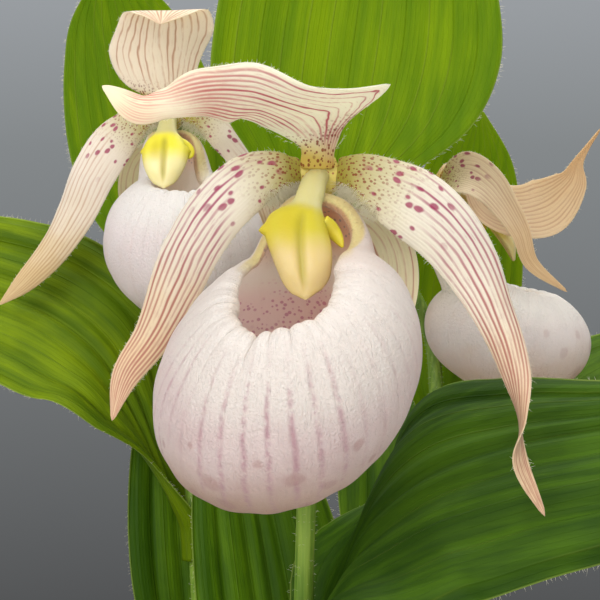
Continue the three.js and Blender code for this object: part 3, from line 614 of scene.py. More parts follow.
def hair_mesh(name, roots, directions, lengths, width, droop, seed):
    """Tapered three-sided hairs in one mesh, each bent a little its own way."""
    rng = np.random.default_rng(seed)
    count = len(roots)
    directions = unit(directions)
    bend = rng.normal(0, 1, (count, 3)) * droop + np.array([0, 0, -droop * 0.6])
    levels = np.array([0, 0.35, 0.7])
    long = lengths[:, None]
    centres = [roots + directions * (long * t) + bend * (long * t * t) for t in levels]
    tip = roots + directions * long + bend * long
    helper = np.where(np.abs(directions[:, 2:]) > 0.8, [[1.0, 0, 0]], [[0, 0, 1.0]])
    first = unit(np.cross(directions, helper))
    second = np.cross(directions, first)
    rings = []
    for t, centre in zip(levels, centres):
        radius = width * (1 - 0.75 * t)
        for k in range(3):
            a = 2 * math.pi * k / 3
            rings.append(centre + radius * (math.cos(a) * first + math.sin(a) * second))
    points = np.stack(rings + [tip], 1).reshape(-1, 3)
    start = np.arange(count)[:, None] * 10
    quads, tris = [], []
    for k in range(3):
        m = (k + 1) % 3
        for level in range(2):
            a = 3 * level
            quads.append(start + np.array([[a + k, a + m, a + 3 + m, a + 3 + k]]))
        tris.append(start + np.array([[6 + k, 6 + m, 9]]))
    faces = np.vstack(quads).tolist() + np.vstack(tris).tolist()
    return make_mesh(name, points, faces)


# Materials

def rgb(red, green, blue):
    """A colour as a shader takes it, from the numbers that a screen shows."""
    out = []
    for c in (red, green, blue):
        c = c / 255
        out.append(c / 12.92 if c <= 0.04045 else ((c + 0.055) / 1.055) ** 2.4)
    return (*out, 1)


class Wire:
    """A socket in a shader tree that can be reckoned with."""

    def __init__(self, tree, socket):
        self.tree = tree
        self.socket = socket

    def math(self, kind, *others):
        node = self.tree.nodes.new("ShaderNodeMath")
        node.operation = kind
        for entry, value in zip(node.inputs, (self, *others)):
            feed(self.tree, entry, value)
        return Wire(self.tree, node.outputs[0])

    def __add__(self, other):
        return self.math("ADD", other)

    def __sub__(self, other):
        return self.math("SUBTRACT", other)

    def __rsub__(self, other):
        return self.math("MULTIPLY", -1).math("ADD", other)

    def __mul__(self, other):
        return self.math("MULTIPLY", other)

    __radd__ = __add__
    __rmul__ = __mul__

    def smooth(self, low, high):
        node = self.tree.nodes.new("ShaderNodeMapRange")
        node.interpolation_type = "SMOOTHSTEP"
        for entry, value in zip(node.inputs, (self, low, high, 0, 1)):
            feed(self.tree, entry, value)
        return Wire(self.tree, node.outputs[0])

    def parts(self):
        node = self.tree.nodes.new("ShaderNodeSeparateXYZ")
        feed(self.tree, node.inputs[0], self)
        return [Wire(self.tree, out) for out in node.outputs]


def feed(tree, entry, value):
    if isinstance(value, Wire):
        tree.links.new(value.socket, entry)
    else:
        entry.default_value = value


NOISE_ROUGHNESS = 0.55


class Paint:
    """A material under construction."""

    def __init__(self, name):
        self.material = bpy.data.materials.new(name)
        self.material.use_nodes = True
        self.tree = self.material.node_tree
        self.tree.nodes.clear()

    def node(self, kind, **settings):
        made = self.tree.nodes.new("ShaderNode" + kind)
        for key, value in settings.items():
            setattr(made, key, value)
        return made

    def wire(self, node, name):
        return Wire(self.tree, node.outputs[name])

    def attribute(self, name):
        return self.wire(self.node("Attribute", attribute_name=name), "Vector")

    def place(self):
        return self.wire(self.node("TexCoord"), "Object")

    def vector(self, x, y, z=0):
        node = self.node("CombineXYZ")
        for entry, value in zip(node.inputs, (x, y, z)):
            feed(self.tree, entry, value)
        return Wire(self.tree, node.outputs[0])

    def noise(self, vector, scale, detail=3, twist=0):
        node = self.node("TexNoise")
        feed(self.tree, node.inputs["Vector"], vector)
        node.inputs["Scale"].default_value = scale
        node.inputs["Detail"].default_value = detail
        node.inputs["Roughness"].default_value = NOISE_ROUGHNESS
        node.inputs["Distortion"].default_value = twist
        return self.wire(node, 0)

    def cells(self, vector, scale, flat=True):
        """How far it is to the nearest of scattered points, and a colour of that point's own."""
        node = self.node("TexVoronoi", voronoi_dimensions="2D" if flat else "3D")
        feed(self.tree, node.inputs["Vector"], vector)
        node.inputs["Scale"].default_value = scale
        return self.wire(node, "Distance"), self.wire(node, "Color")

    def dots(self, vector, scale, grow, reach, share, flat=True):
        """Round dots in some of the cells. Each has a soft edge over reach, and a size of its own."""
        near, pick = self.cells(vector, scale, flat)
        chance, size = pick.parts()[:2]
        return (near - size * grow).smooth(*reach) * chance.smooth(*share)

    def mix(self, a, b, t):
        node = self.node("Mix", data_type="RGBA")
        for entry, value in zip((node.inputs[0], node.inputs[6], node.inputs[7]), (t, a, b)):
            feed(self.tree, entry, value)
        return Wire(self.tree, node.outputs[2])

    def bump(self, height, distance):
        node = self.node("Bump")
        feed(self.tree, node.inputs["Height"], height)
        node.inputs["Distance"].default_value = distance
        node.inputs["Strength"].default_value = 1
        return self.wire(node, "Normal")

    def finish(self, colour, rough, normal=None, glow=0.0, glow_colour=None, **values):
        """The surface itself. Glow is the share of light that passes through the sheet."""
        skin = self.node("BsdfPrincipled")
        feed(self.tree, skin.inputs["Base Color"], colour)
        feed(self.tree, skin.inputs["Roughness"], rough)
        for key, value in values.items():
            skin.inputs[key.replace("_", " ")].default_value = value
        if normal is not None:
            feed(self.tree, skin.inputs["Normal"], normal)
        out = self.node("OutputMaterial")
        last = skin.outputs[0]
        if glow:
            through = self.node("BsdfTranslucent")
            feed(self.tree, through.inputs["Color"], colour if glow_colour is None else glow_colour)
            if normal is not None:
                feed(self.tree, through.inputs["Normal"], normal)
            both = self.node("MixShader")
            both.inputs[0].default_value = glow
            self.tree.links.new(skin.outputs[0], both.inputs[1])
            self.tree.links.new(through.outputs[0], both.inputs[2])
            last = both.outputs[0]
        self.tree.links.new(last, out.inputs[0])
        return self.material


def stripes(v, half, count, width, soft=0.12):
    """Veins at even steps across a blade, 1 on a vein, and each one's number. Width is in millimetres."""
    steps = v * (count / 2) + 0.5
    gap = (steps.math("FRACT") - 0.5).math("ABSOLUTE") * (2 / count) * half
    room = half * (0.5 / count)
    reach = room.math("MINIMUM", width / 2)
    return gap.smooth(reach + soft, reach - soft * 0.7), steps.math("FLOOR")


def leaf_material(name, dark, light, glow_colour, glow, veins, vein_share):
    """Green with lengthwise veins, painted shade in the furrows between them, a pale margin and a darker
    midrib.
    """
    paint = Paint(name)
    u, v, half = paint.attribute("share").parts()
    along, across = paint.attribute("flat").parts()[:2]
    place = paint.place()
    drift = paint.noise(paint.vector(along, across * 0.3), 0.03, 2)
    wander = v + (drift - 0.5) * 0.012
    main, number = stripes(wander, half, veins, 0.3, 0.2)
    # Painted shade: a soft dark band beside each vein stands in for the shade in the leaf's folds.
    shade = stripes(wander + 0.4 / veins, half, veins, 1.8, 2.2)[0]
    fine = stripes(wander, half, veins * 5, 0.14, 0.12)[0]
    own = paint.noise(paint.vector(number * 1.37, along * 0.02), 1, 1)
    blotch = paint.noise(place, 38, 3)
    streak = paint.noise(paint.vector(along * 0.02, across * 0.4), 1, 3)
    tone = (blotch * 0.5 + streak * 0.5).smooth(0.34, 0.66)
    colour = paint.mix(dark, light, tone)
    # The painted fold shade and the fine veins darken the green here.
    colour = paint.mix(colour, dark, shade * own.smooth(0.35, 0.6) * 0.75 + fine * 0.18)
    colour = paint.mix(colour, rgb(140, 158, 50), main * own.smooth(0.62, 0.42) * vein_share)
    rib = v.math("ABSOLUTE").smooth(0.06, 0.0) * u.smooth(0.95, 0.3)
    colour = paint.mix(colour, dark, rib * 0.35)
    edge = (half - across.math("ABSOLUTE")).smooth(0.6, 0.1)
    colour = paint.mix(colour, rgb(170, 186, 90), edge * 0.35)
    through = paint.mix(glow_colour, rgb(90, 120, 5), main * 0.2 + 0.05)
    height = main * 0.4 + fine * 0.2 + paint.noise(paint.vector(along * 0.25, across * 1.2), 1, 2) * 0.5
    normal = paint.bump(height, 0.00022)
    return paint.finish(colour, 0.55 + blotch * 0.12, normal, glow, through, Specular_IOR_Level=0.14)


def petal_material(name, base, foot, far, line, far_line, count, width, spots=True, lines_from=0.25,
                   far_from=0.45, glow=0.3, line_strength=0.9, thin_out=0.0, foot_to=0.3):
    """Cream with coloured veins, a yellow-green foot with fine dots, and larger spots above it."""
    paint = Paint(name)
    u, v, half = paint.attribute("share").parts()
    along, across = paint.attribute("flat").parts()[:2]
    place = paint.place()
    flat = paint.vector(along, across)
    sway = paint.noise(paint.vector(along * 0.07, across * 0.25), 1, 2) - 0.5
    wander = v + sway * 0.16
    cloud = paint.noise(place, 90, 3)
    colour = paint.mix(base, far, (u + (cloud - 0.5) * 0.25).smooth(far_from, far_from + 0.4))
    colour = paint.mix(colour, foot, (u + (cloud - 0.5) * 0.12).smooth(foot_to, 0.02))
    broken = paint.noise(paint.vector(along * 0.35, across * 1.8), 1, 3)
    vein, number = stripes(wander, half, count, width, 0.2)
    own = paint.noise(paint.vector(number * 1.73, along * 0.03, 5), 1, 1).smooth(0.3, 0.62)
    vein = vein * (broken * 0.7 + own * 0.5).smooth(0.2, 0.5) * (own * 0.5 + 0.5)
    thin = stripes(wander + 1 / count, half, count, width * 0.5, 0.14)[0]
    thin = thin * broken.smooth(0.5, 0.72)
    start = u + v * 0.16
    shown = start.smooth(lines_from, lines_from + 0.14)
    if thin_out:
        shown = shown * half.smooth(1.5, 6) * u.smooth(1, thin_out)
    ink = paint.mix(line, far_line, u.smooth(far_from - 0.1, far_from + 0.25))
    shown = shown * v.math("ABSOLUTE").smooth(1.0, 0.9)
    colour = paint.mix(colour, ink, (vein + thin * 0.35).math("MINIMUM", 1) * shown * line_strength)
    if spots:
        warp = paint.vector(along * 0.62 + sway * 2, across + sway * 1.2)
        big = paint.dots(warp, 1 / 2.5, 0.12, (0.21, 0.06), (0.42, 0.45))
        big = big * (u.smooth(0.1, 0.16) * u.smooth(0.46, 0.34))
        colour = paint.mix(colour, rgb(168, 42, 92), big * 0.85)
    dots = paint.dots(paint.vector(along * 0.75, across), 1 / 0.85, 0.22, (0.22, 0.06), (0.15, 0.2))
    dots = dots * (u + (cloud - 0.5) * 0.2).smooth(0.34 if spots else 0.24, 0.1)
    colour = paint.mix(colour, rgb(146, 60, 36), dots * 0.85)
    ridge = stripes(wander, half, count * 2, 0.3, 0.3)[0]
    height = ridge * 0.3 + paint.noise(flat, 1.3, 3) * 0.5
    normal = paint.bump(height, 0.00014)
    return paint.finish(
        colour, 0.5 + cloud * 0.12, normal, glow, Sheen_Weight=0.1, Specular_IOR_Level=0.3,
    )


def lip_material(name, vein, fair, under, low, ink_strength, speck):
    """The pouch: its pink veins fade in below the creased margin and out again towards its far end."""
    paint = Paint(name)
    cosine, sine, past = paint.attribute("around").parts()
    high, face, back = paint.attribute("inside").parts()
    level = paint.attribute("hang").parts()[0]
    place = paint.place()
    turn = sine.math("ARCTAN2", cosine)
    wobble = paint.noise(place, 55, 2) - 0.5
    grain = paint.noise(place, 1700, 2)
    patchy = paint.noise(place, 130, 3)
    stipple = (patchy * 0.5 + paint.noise(place, 800, 2) * 0.5).smooth(0.36, 0.6)
    ring = (turn + wobble * 0.08) * 19
    wave = ring.math("SINE").math("ABSOLUTE")
    line = wave.smooth(0.66, 0.0)
    own = paint.noise(paint.vector(cosine * 3.6, sine * 3.6, past * 0.006), 1, 1).smooth(0.36, 0.6)
    front = cosine.smooth(-0.35, -0.85) * 0.75 + 0.25
    zone = (past + own * 12).smooth(14, 40) * (past - own * 14).smooth(80, 56)
    # Painted shade: below the height low, the skin turns to the under colour, so the lower pouch is
    # painted darker as if in shade. Patches of that colour also lie further down.
    white = paint.mix(fair, under, (level + wobble * 16).smooth(low, low - 20))
    white = paint.mix(white, under, patchy.smooth(0.45, 0.8) * past.smooth(20, 70) * 0.25)
    blush = front * past.smooth(24, 46) * past.smooth(74, 56) * patchy
    white = paint.mix(white, vein, blush * 0.4 * ink_strength)
    outside = paint.mix(white, vein, line * stipple * zone * front * (own * 0.75 + 0.25) * ink_strength)
    blot = (high + (paint.noise(place, 420, 2) - 0.5) * 0.9).smooth(0.2, 0.75)
    outside = paint.mix(outside, rgb(160, 112, 110), blot * 0.55 * speck)
    margin = past.smooth(3, -4)
    outside = paint.mix(outside, rgb(250, 234, 214), margin * 0.7)
    rim = back * past.smooth(4.5, 2)
    outside = paint.mix(outside, rgb(232, 220, 140), rim)
    beads = paint.dots(place, 900, 0, (0.34, 0.2), (0.3, 0.35), flat=False)
    turned = back * past.smooth(-4, -7)
    outside = paint.mix(outside, rgb(190, 130, 70), turned * 0.9)
    outside = paint.mix(outside, rgb(112, 30, 30), turned * beads * 0.8)
    deep = (past + wobble * 12).smooth(28, 46) * past.smooth(110, 80)
    inner = paint.mix(rgb(255, 240, 222), rgb(255, 204, 200), deep * 0.8)
    specks = paint.dots(place, 1000, 0.32, (0.26, 0.08), (0.2, 0.25), flat=False)
    group = paint.noise(place, 140, 2).smooth(0.38, 0.5)
    inner = paint.mix(inner, rgb(200, 26, 116), specks * group * deep * 0.95)
    inner = paint.mix(inner, rgb(240, 160, 90), high * 0.9)
    inner = paint.mix(inner, rgb(124, 26, 26), high * beads * 0.9)
    inward = face.smooth(0.2, -0.2)
    colour = paint.mix(outside, inner, inward)
    wrinkle = paint.noise(paint.vector(cosine * 40, sine * 40, past * 0.16), 1, 3, twist=0.8)
    folds = paint.noise(paint.vector(cosine * 15, sine * 15, past * 0.03), 1, 2)
    height = grain * 0.75 + wrinkle * 0.8 + folds * past.smooth(70, 6) * 1.2
    height = height - wave.smooth(0.5, 0.0) * past.smooth(4, 20) * past.smooth(120, 90) * 0.2
    normal = paint.bump(height * (1 - inward * 0.85), 0.00055)
    return paint.finish(
        colour, 0.5 + grain * 0.1, normal, 0.5, paint.mix(colour, rgb(255, 252, 250), 0.8),
        Subsurface_Weight=0.12, Subsurface_Radius=(1.0, 0.85, 0.8), Subsurface_Scale=0.0015,
        Sheen_Weight=0.15, Specular_IOR_Level=0.35,
    )


def column_material(name, yellow, pale):
    """A cream column, and a shield that is yellow at the top, pale below and olive along its groove."""
    paint = Paint(name)
    u, v = paint.attribute("share").parts()[:2]
    place = paint.place()
    soft = paint.noise(place, 160, 2) - 0.5
    x = u + soft * 0.05
    colour = paint.mix(rgb(198, 190, 130), yellow, x.smooth(0.4, 0.5))
    colour = paint.mix(colour, pale, x.smooth(0.58, 0.76))
    edge = v.math("ABSOLUTE").smooth(0.62, 0.95)
    edge = edge * x.smooth(0.46, 0.56) * x.smooth(0.8, 0.64)
    colour = paint.mix(colour, rgb(204, 178, 36), edge * 0.4)
    groove = v.math("ABSOLUTE").smooth(0.24, 0.0) * x.smooth(0.46, 0.56) * x.smooth(0.98, 0.84)
    colour = paint.mix(colour, rgb(164, 150, 24), groove * 0.65)
    flush = (v + 0.35).math("ABSOLUTE").smooth(0.4, 0.0) * x.smooth(0.48, 0.6) * x.smooth(0.78, 0.64)
    colour = paint.mix(colour, rgb(190, 168, 20), flush * 0.5)
    normal = paint.bump(paint.noise(place, 900, 2), 0.0001)
    return paint.finish(
        colour, 0.45 + soft * 0.1, normal, 0, Specular_IOR_Level=0.35,
        Subsurface_Weight=0.35, Subsurface_Radius=(1.0, 0.8, 0.25), Subsurface_Scale=0.003,
    )


def stem_material(name):
    paint = Paint(name)
    place = paint.place()
    x, y, z = place.parts()
    grain = paint.noise(paint.vector(x * 900, y * 900, z * 40), 1, 3)
    cloud = paint.noise(place, 45, 2)
    colour = paint.mix(rgb(84, 122, 24), rgb(146, 172, 66), (grain * 0.6 + cloud * 0.4).smooth(0.3, 0.7))
    colour = paint.mix(colour, rgb(140, 150, 70), z.smooth(0.16, 0.12) * 0.5)
    u = paint.attribute("share").parts()[0]
    colour = paint.mix(colour, rgb(214, 196, 96), (u + (cloud - 0.5) * 0.02).smooth(0.93, 0.975))
    dots = paint.dots(place, 1100, 0, (0.34, 0.2), (0.3, 0.35), flat=False)
    colour = paint.mix(colour, rgb(150, 60, 40), dots * u.smooth(0.985, 0.99) * 0.8)
    normal = paint.bump(grain, 0.0003)
    return paint.finish(
        colour, 0.5 + cloud * 0.1, normal, 0,
        Subsurface_Weight=0.12, Subsurface_Radius=(0.6, 1.0, 0.2), Subsurface_Scale=0.002,
    )


def hair_material(name):
    paint = Paint(name)
    place = paint.place()
    tint = paint.noise(place, 120, 2)
    colour = paint.mix(rgb(252, 248, 232), rgb(236, 230, 200), tint)
    return paint.finish(colour, 0.4 + tint * 0.1, None, 0.5)


def soil_material(name):
    paint = Paint(name)
    place = paint.place()
    coarse = paint.noise(place, 160, 4)
    fine = paint.noise(place, 900, 4)
    shade = paint.cells(place, 120, flat=False)[1].parts()[0]
    colour = paint.mix(rgb(54, 36, 24), rgb(120, 84, 54), (coarse * 0.5 + shade * 0.5).smooth(0.3, 0.8))
    colour = paint.mix(colour, rgb(24, 16, 12), fine.smooth(0.5, 0.3) * 0.7)
    normal = paint.bump(coarse * 0.4 + fine * 0.6, 0.0012)
    return paint.finish(colour, 0.82 + fine * 0.12, normal)


def pot_material(name):
    paint = Paint(name)
    place = paint.place()
    grain = paint.noise(place, 1500, 2)
    cloud = paint.noise(place, 14, 3)
    dust = paint.noise(place, 60, 4).smooth(0.45, 0.75)
    z = place.parts()[2]
    colour = paint.mix(rgb(44, 44, 47), rgb(60, 60, 63), cloud.smooth(0.3, 0.7))
    colour = paint.mix(colour, rgb(104, 98, 88), dust * z.smooth(0.04, 0.0) * 0.5)
    colour = paint.mix(colour, rgb(92, 90, 86), dust * z.smooth(0.105, 0.122) * 0.35)
    normal = paint.bump(grain, 0.00012)
    return paint.finish(colour, 0.45 + cloud * 0.15 + dust * 0.1, normal)


def plain_material(name, colour, rough):
    paint = Paint(name)
    tint = paint.noise(paint.place(), 30, 2)
    shade = tuple(c * 0.97 for c in colour[:3]) + (1,)
    return paint.finish(paint.mix(colour, shade, tint), rough)


# Pot and growing medium

def lathe_mesh(name, profile, sides):
    """A profile of (radius, height) turned about the upright axis. Both its ends lie on the axis."""
    profile = np.array(profile, float)
    inner = profile[1:-1]
    a = 2 * math.pi * np.arange(sides) / sides
    radius, height = inner[:, 0][:, None], inner[:, 1][:, None]
    points = np.stack([
        radius * np.cos(a), radius * np.sin(a), np.broadcast_to(height, (len(inner), sides)),
    ], -1).reshape(-1, 3)
    ends = [(0, 0, profile[0][1]), (0, 0, profile[-1][1])]
    return make_mesh(name, np.vstack([points, ends]), pole_faces(len(inner), sides))


def rounded(profile, radius, steps=4):
    """Each inner corner of a profile becomes a small arc."""
    out = [profile[0]]
    for before, corner, after in zip(profile, profile[1:], profile[2:]):
        before, corner, after = map(np.array, (before, corner, after))
        reach_in = min(radius, np.linalg.norm(before - corner) * 0.45)
        reach_out = min(radius, np.linalg.norm(after - corner) * 0.45)
        start = corner + (before - corner) / np.linalg.norm(before - corner) * reach_in
        end = corner + (after - corner) / np.linalg.norm(after - corner) * reach_out
        for t in np.linspace(0, 1, steps + 1):
            out.append(tuple((1 - t) ** 2 * start + 2 * t * (1 - t) * corner + t * t * end))
    out.append(profile[-1])
    return out


def build_pot():
    shoulder = POT["height"] - POT["rim_height"]
    wall = POT["wall"]
    profile = [
        (0, 0), (POT["base"], 0), (POT["body_top"], shoulder), (POT["rim"], shoulder),
        (POT["rim"], POT["height"]), (POT["rim"] - wall, POT["height"]),
        (POT["body_top"] - wall, shoulder - POT["step"]), (POT["base"] - wall, POT["floor"]),
        (0, POT["floor"]),
    ]
    mesh = lathe_mesh("pot_fine", rounded(profile, POT["ease"]), POT["sides"])
    add_piece("pot_fine", mesh, pot_material("pot_plastic"), "pot", "pot")


def build_soil():
    rings, sides = SOIL_GRID
    a = 2 * math.pi * np.arange(sides) / sides
    r = SOIL_RADIUS * np.linspace(1, 0, rings + 1)[:-1]
    radius, angle = np.meshgrid(r, a, indexing="ij")
    x, y = radius * np.cos(angle), radius * np.sin(angle)
    lump = (np.sin(5 * angle + 0.21 * radius) + np.sin(8 * angle - 0.33 * radius + 1.3)
            + np.sin(13 * angle + radius)) / 3
    grit = np.sin(0.9 * x + 1.7 * np.sin(0.5 * y)) * np.sin(1.1 * y + 1.3 * np.sin(0.6 * x))
    z = SOIL_TOP - SOIL_DIP - SOIL_FALL * (radius / SOIL_RADIUS) ** 4 + 1.2 * lump + 0.7 * grit
    top = np.stack([x, y, z], -1)
    foot_r = POT["base"] - POT["wall"] - SOIL_GAP["side"]
    foot_z = POT["floor"] + SOIL_GAP["floor"]
    foot = np.stack([foot_r * np.cos(a), foot_r * np.sin(a), np.full(sides, foot_z)], -1)
    points = np.vstack([foot[None], top]).reshape(-1, 3)
    ends = [(0, 0, foot_z), (0, 0, SOIL_TOP - SOIL_DIP)]
    mesh = make_mesh("soil_fine", np.vstack([points, ends]), pole_faces(rings + 1, sides))
    bark = soil_material("bark")
    add_piece("soil_fine", mesh, bark, "soil", "soil")
    add_piece("bark_chips", chips_mesh(), bark, "soil")


def chips_mesh():
    """Bark chips of many sizes, lying nearly flat on the growing medium."""
    rng = np.random.default_rng(21)
    bpy.ops.mesh.primitive_ico_sphere_add(subdivisions=2, radius=1)
    ball = bpy.context.object
    base = np.array([v.co[:] for v in ball.data.vertices])
    faces = np.array([p.vertices[:] for p in ball.data.polygons])
    shape = ball.data
    bpy.data.objects.remove(ball)
    bpy.data.meshes.remove(shape)
    blocky = base / np.maximum(np.abs(base).max(1, keepdims=True), 1e-6) * 0.55 + base * 0.45
    feet = [stem_point(stem, SOIL_TOP)[:2] for stem in STEMS.values()]
    points, all_faces = [], []
    made = 0
    while made < CHIP_COUNT:
        r = (SOIL_RADIUS - 5) * math.sqrt(rng.random())
        a = rng.random() * 2 * math.pi
        spot = np.array([r * math.cos(a), r * math.sin(a)])
        if min(np.linalg.norm(spot - foot) for foot in feet) < CHIP_FREE:
            continue
        size = rng.uniform(*CHIP_SIZES)
        knobs = 1 + 0.16 * np.sin(base @ rng.normal(0, 3, 3) + rng.random() * 6)
        chip = blocky * size * knobs[:, None]
        turn, lean, roll = rng.random() * 2 * math.pi, rng.normal(0, 0.3), rng.normal(0, 0.3)
        ct, st = math.cos(turn), math.sin(turn)
        cl, sl = math.cos(lean), math.sin(lean)
        cr, sr = math.cos(roll), math.sin(roll)
        spin = np.array([[ct, -st, 0], [st, ct, 0], [0, 0, 1]])
        tip = np.array([[1, 0, 0], [0, cl, -sl], [0, sl, cl]])
        bank = np.array([[cr, 0, sr], [0, 1, 0], [-sr, 0, cr]])
        chip = chip @ (spin @ tip @ bank).T
        height = SOIL_TOP - 0.8 - SOIL_FALL * (r / SOIL_RADIUS) ** 4 + rng.uniform(-0.8, 1.2)
        chip += np.array([spot[0], spot[1], height])
        points.append(chip)
        all_faces.append(faces + made * len(base))
        made += 1
    return make_mesh("bark_chips", np.vstack(points), np.vstack(all_faces).tolist())


# Stems

def stem_surface(key, rings, sides):
    """A stem's skin: slight nodes, a ribbed ovary near its end, and a domed tip."""
    stem = STEMS[key]
    spine = [np.array(p, float) for p in stem["spine"]]
    ahead = unit(spine[-1] - spine[-2])
    spine[-1] = spine[-1] + ahead * 1.6
    u, a, centre, first, second, radius, tangent = tube_grid(spine, stem["radii"], rings, sides)
    ovary = smooth(0.74, 0.84, u)[:, None]
    ribs = 1 + 0.07 * ovary * np.cos(6 * a)[None] + 0.02 * np.cos(5 * a + 9 * u[:, None])
    node = 1 + 0.05 * np.sin(46 * u)[:, None] ** 8
    dome = np.sqrt(np.clip((1 - u) / 0.012, 0.0, 1))[:, None]
    size = radius[:, None] * ribs * node * (0.35 + 0.65 * dome)
    outward = first[:, None] * np.cos(a)[None, :, None] + second[:, None] * np.sin(a)[None, :, None]
    return centre[:, None] + outward * size[..., None], outward, tangent, centre


def build_stems(material, hair):
    for key in STEMS:
        points, outward, tangent, centre = stem_surface(key, *STEM_GRID)
        everything = np.vstack([points.reshape(-1, 3), centre[:1], centre[-1:]])
        rings, sides = points.shape[:2]
        u = np.repeat(np.linspace(0, 1, rings), sides)
        share = np.stack([np.concatenate([u, [0, 1]])] * 3, -1)
        mesh = make_mesh(f"{key}_stem_fine", everything, pole_faces(rings, sides), {"share": share})
        add_piece(f"{key}_stem_fine", mesh, material, "stem", f"{key}_stem")
        rng = np.random.default_rng(40 + ord(key))
        count = STEM_HAIRS["count"]
        rows = rng.integers(30, rings - 4, count)
        columns = rng.integers(0, sides, count)
        roots = points[rows, columns]
        lean = outward[rows, columns] + tangent[rows] * 0.3 + rng.normal(0, 0.25, (count, 3))
        lengths = rng.uniform(*STEM_HAIRS["lengths"], count)
        width = STEM_HAIRS["width"]
        fuzz = hair_mesh(f"{key}_stem_hairs", roots, lean, lengths, width, 0.15, 50 + ord(key))
        add_piece(f"{key}_stem_hairs", fuzz, hair, "stem")


# Leaves

LEAF_TINTS = {"a_top": "deep", "b_top": "fresh"}


def margin_roots(point, side, rows):
    """Points along one margin of a blade, with the way out of the blade there."""
    edge, inner = (point[:, 0], point[:, 1]) if side < 0 else (point[:, -1], point[:, -2])
    outward = unit(edge - inner)
    low = np.floor(rows).astype(int)
    t = (rows - low)[:, None]
    high = np.minimum(low + 1, len(edge) - 1)
    return mix(edge[low], edge[high], t), mix(outward[low], outward[high], t)


def build_leaves(materials, hair):
    for number, (key, leaf) in enumerate(LEAVES.items()):
        blade = leaf_blade(STEMS[key[0]], leaf)
        bract = key.endswith("bract")
        blade["pleats"] = (0.35, 3) if bract else (1.5, 2.6)
        name, slot = (key, "bract") if bract else (f"{key}_leaf", "leaf")
        grid = BRACT_GRID if bract else LEAF_GRID
        mesh = blade_mesh(f"{name}_fine", blade, grid, LEAF_THICKNESS, lambda p: p)
        # Bracts take greens painted brighter and yellower, a painted backlight.
        tint = "bright" if bract else LEAF_TINTS.get(key, "green")
        add_piece(f"{name}_fine", mesh, materials[tint], slot, name)
        point, *_ = blade_grid(blade, *grid)
        rng = np.random.default_rng(100 + number)
        roots, ways, lengths = [], [], []
        for side in (-1, 1):
            count = LEAF_HAIRS[slot]
            rows = np.sort(rng.uniform(15, grid[0] - 1, count))
            root, out = margin_roots(point, side, rows)
            roots.append(root)
            ways.append(out + rng.normal(0, 0.35, (count, 3)))
            lengths.append(rng.uniform(*LEAF_HAIRS["lengths"], count))
        fuzz = hair_mesh(
            f"{name}_hairs", np.vstack(roots), np.vstack(ways), np.concatenate(lengths),
            LEAF_HAIRS["width"], 0.12, 200 + number,
        )
        add_piece(f"{name}_hairs", fuzz, hair, slot)


# Blooms

def column_surface(key, rows, columns):
    """The middle surface of the column and its shield, with an ear at one side or both."""
    spec = dict(COLUMNS[key])
    u, v = np.meshgrid(np.linspace(0, 1, rows + 1), np.linspace(-1, 1, columns + 1), indexing="ij")
    spec["curl"] = [0, 0, -6, -16, -14, -8]
    spec["tip"] = 0.05
    point, half = surface(spec, u, v)
    left_ear, right_ear = spec["ears"]
    ear = np.exp(-((u - 0.575) / 0.02) ** 2) * smooth(0.8, 1.0, np.abs(v))
    across = unit(np.gradient(point, axis=1))
    point = point + across * (np.where(v < 0, -left_ear, right_ear) * ear)[..., None]
    return point, u, v, half


def column_mesh(key, place):
    """The column, its grooved shield, and the small flap of an anther beside it."""
    rows, columns = COLUMN_GRID
    point, u, v, half = column_surface(key, rows, columns)
    point = place(point)
    normals = grid_normals(point)
    swell = track(COLUMN_DEPTH, u) * np.sqrt(np.clip(1 - v * v, 0, 1)) + 0.12
    shield = smooth(0.42, 0.52, u)
    pillow = 0.8 * shield * smooth(1.0, 0.8, u) * (1 - v ** 4)
    groove = 0.9 * smooth(0.46, 0.62, u) * smooth(0.99, 0.8, u) * np.exp(-(np.abs(v) / 0.16) ** 1.5)
    front = point + normals * (swell - groove + pillow)[..., None]
    back = point - normals * (swell * 0.8)[..., None]
    share = np.stack([u, v, half], -1).reshape(-1, 3)
    faces = sheet_faces(rows + 1, columns + 1)
    rings, sides = 16, 12
    radii = [1.7, 1.8, 1.6, 1.3, 0.9, 0.3]
    _, a, centre, first, second, radius, _ = tube_grid(COLUMNS[key]["flap"], radii, rings, sides)
    turn = a[None, :, None]
    outward = first[:, None] * np.cos(turn) + 0.6 * second[:, None] * np.sin(turn)
    skin = centre[:, None] + outward * radius[:, None, None]
    flap = np.vstack([skin.reshape(-1, 3), centre[:1], centre[-1:]])
    offset = 2 * len(share)
    faces += [[i + offset for i in face] for face in pole_faces(rings + 1, sides)]
    points = np.vstack([front.reshape(-1, 3), back.reshape(-1, 3), place(flap)])
    flap_share = np.tile([0.55, 0.8, 1.0], (len(flap), 1))
    layers = {"share": np.vstack([share, share, flap_share])}
    return make_mesh(f"{key}_column_fine", points, faces, layers)


def rim_angles(rim, around):
    """The rim's angle from the mouth's axis all the way round, with its corners eased."""
    turns, angles = np.array(sorted((turn % 360, angle) for turn, angle in rim)).T
    fine = np.arange(720) / 2
    line = np.interp(fine, turns, angles, period=360)
    ease = np.exp(-(np.minimum(fine, 360 - fine) / 4) ** 2)
    line = np.real(np.fft.ifft(np.fft.fft(line) * np.fft.fft(ease / ease.sum())))
    return np.interp(np.degrees(around) % 360, fine, line, period=360)


def lip_creases(lip, around):
    """How deep the margin is creased all the way round."""
    turn = np.degrees(around)
    total = np.zeros_like(turn)
    for at, deep, wide in lip["creases"]:
        away = np.abs((turn - at + 180) % 360 - 180)
        total += deep * np.exp(-(away / wide) ** 1.4)
    return total


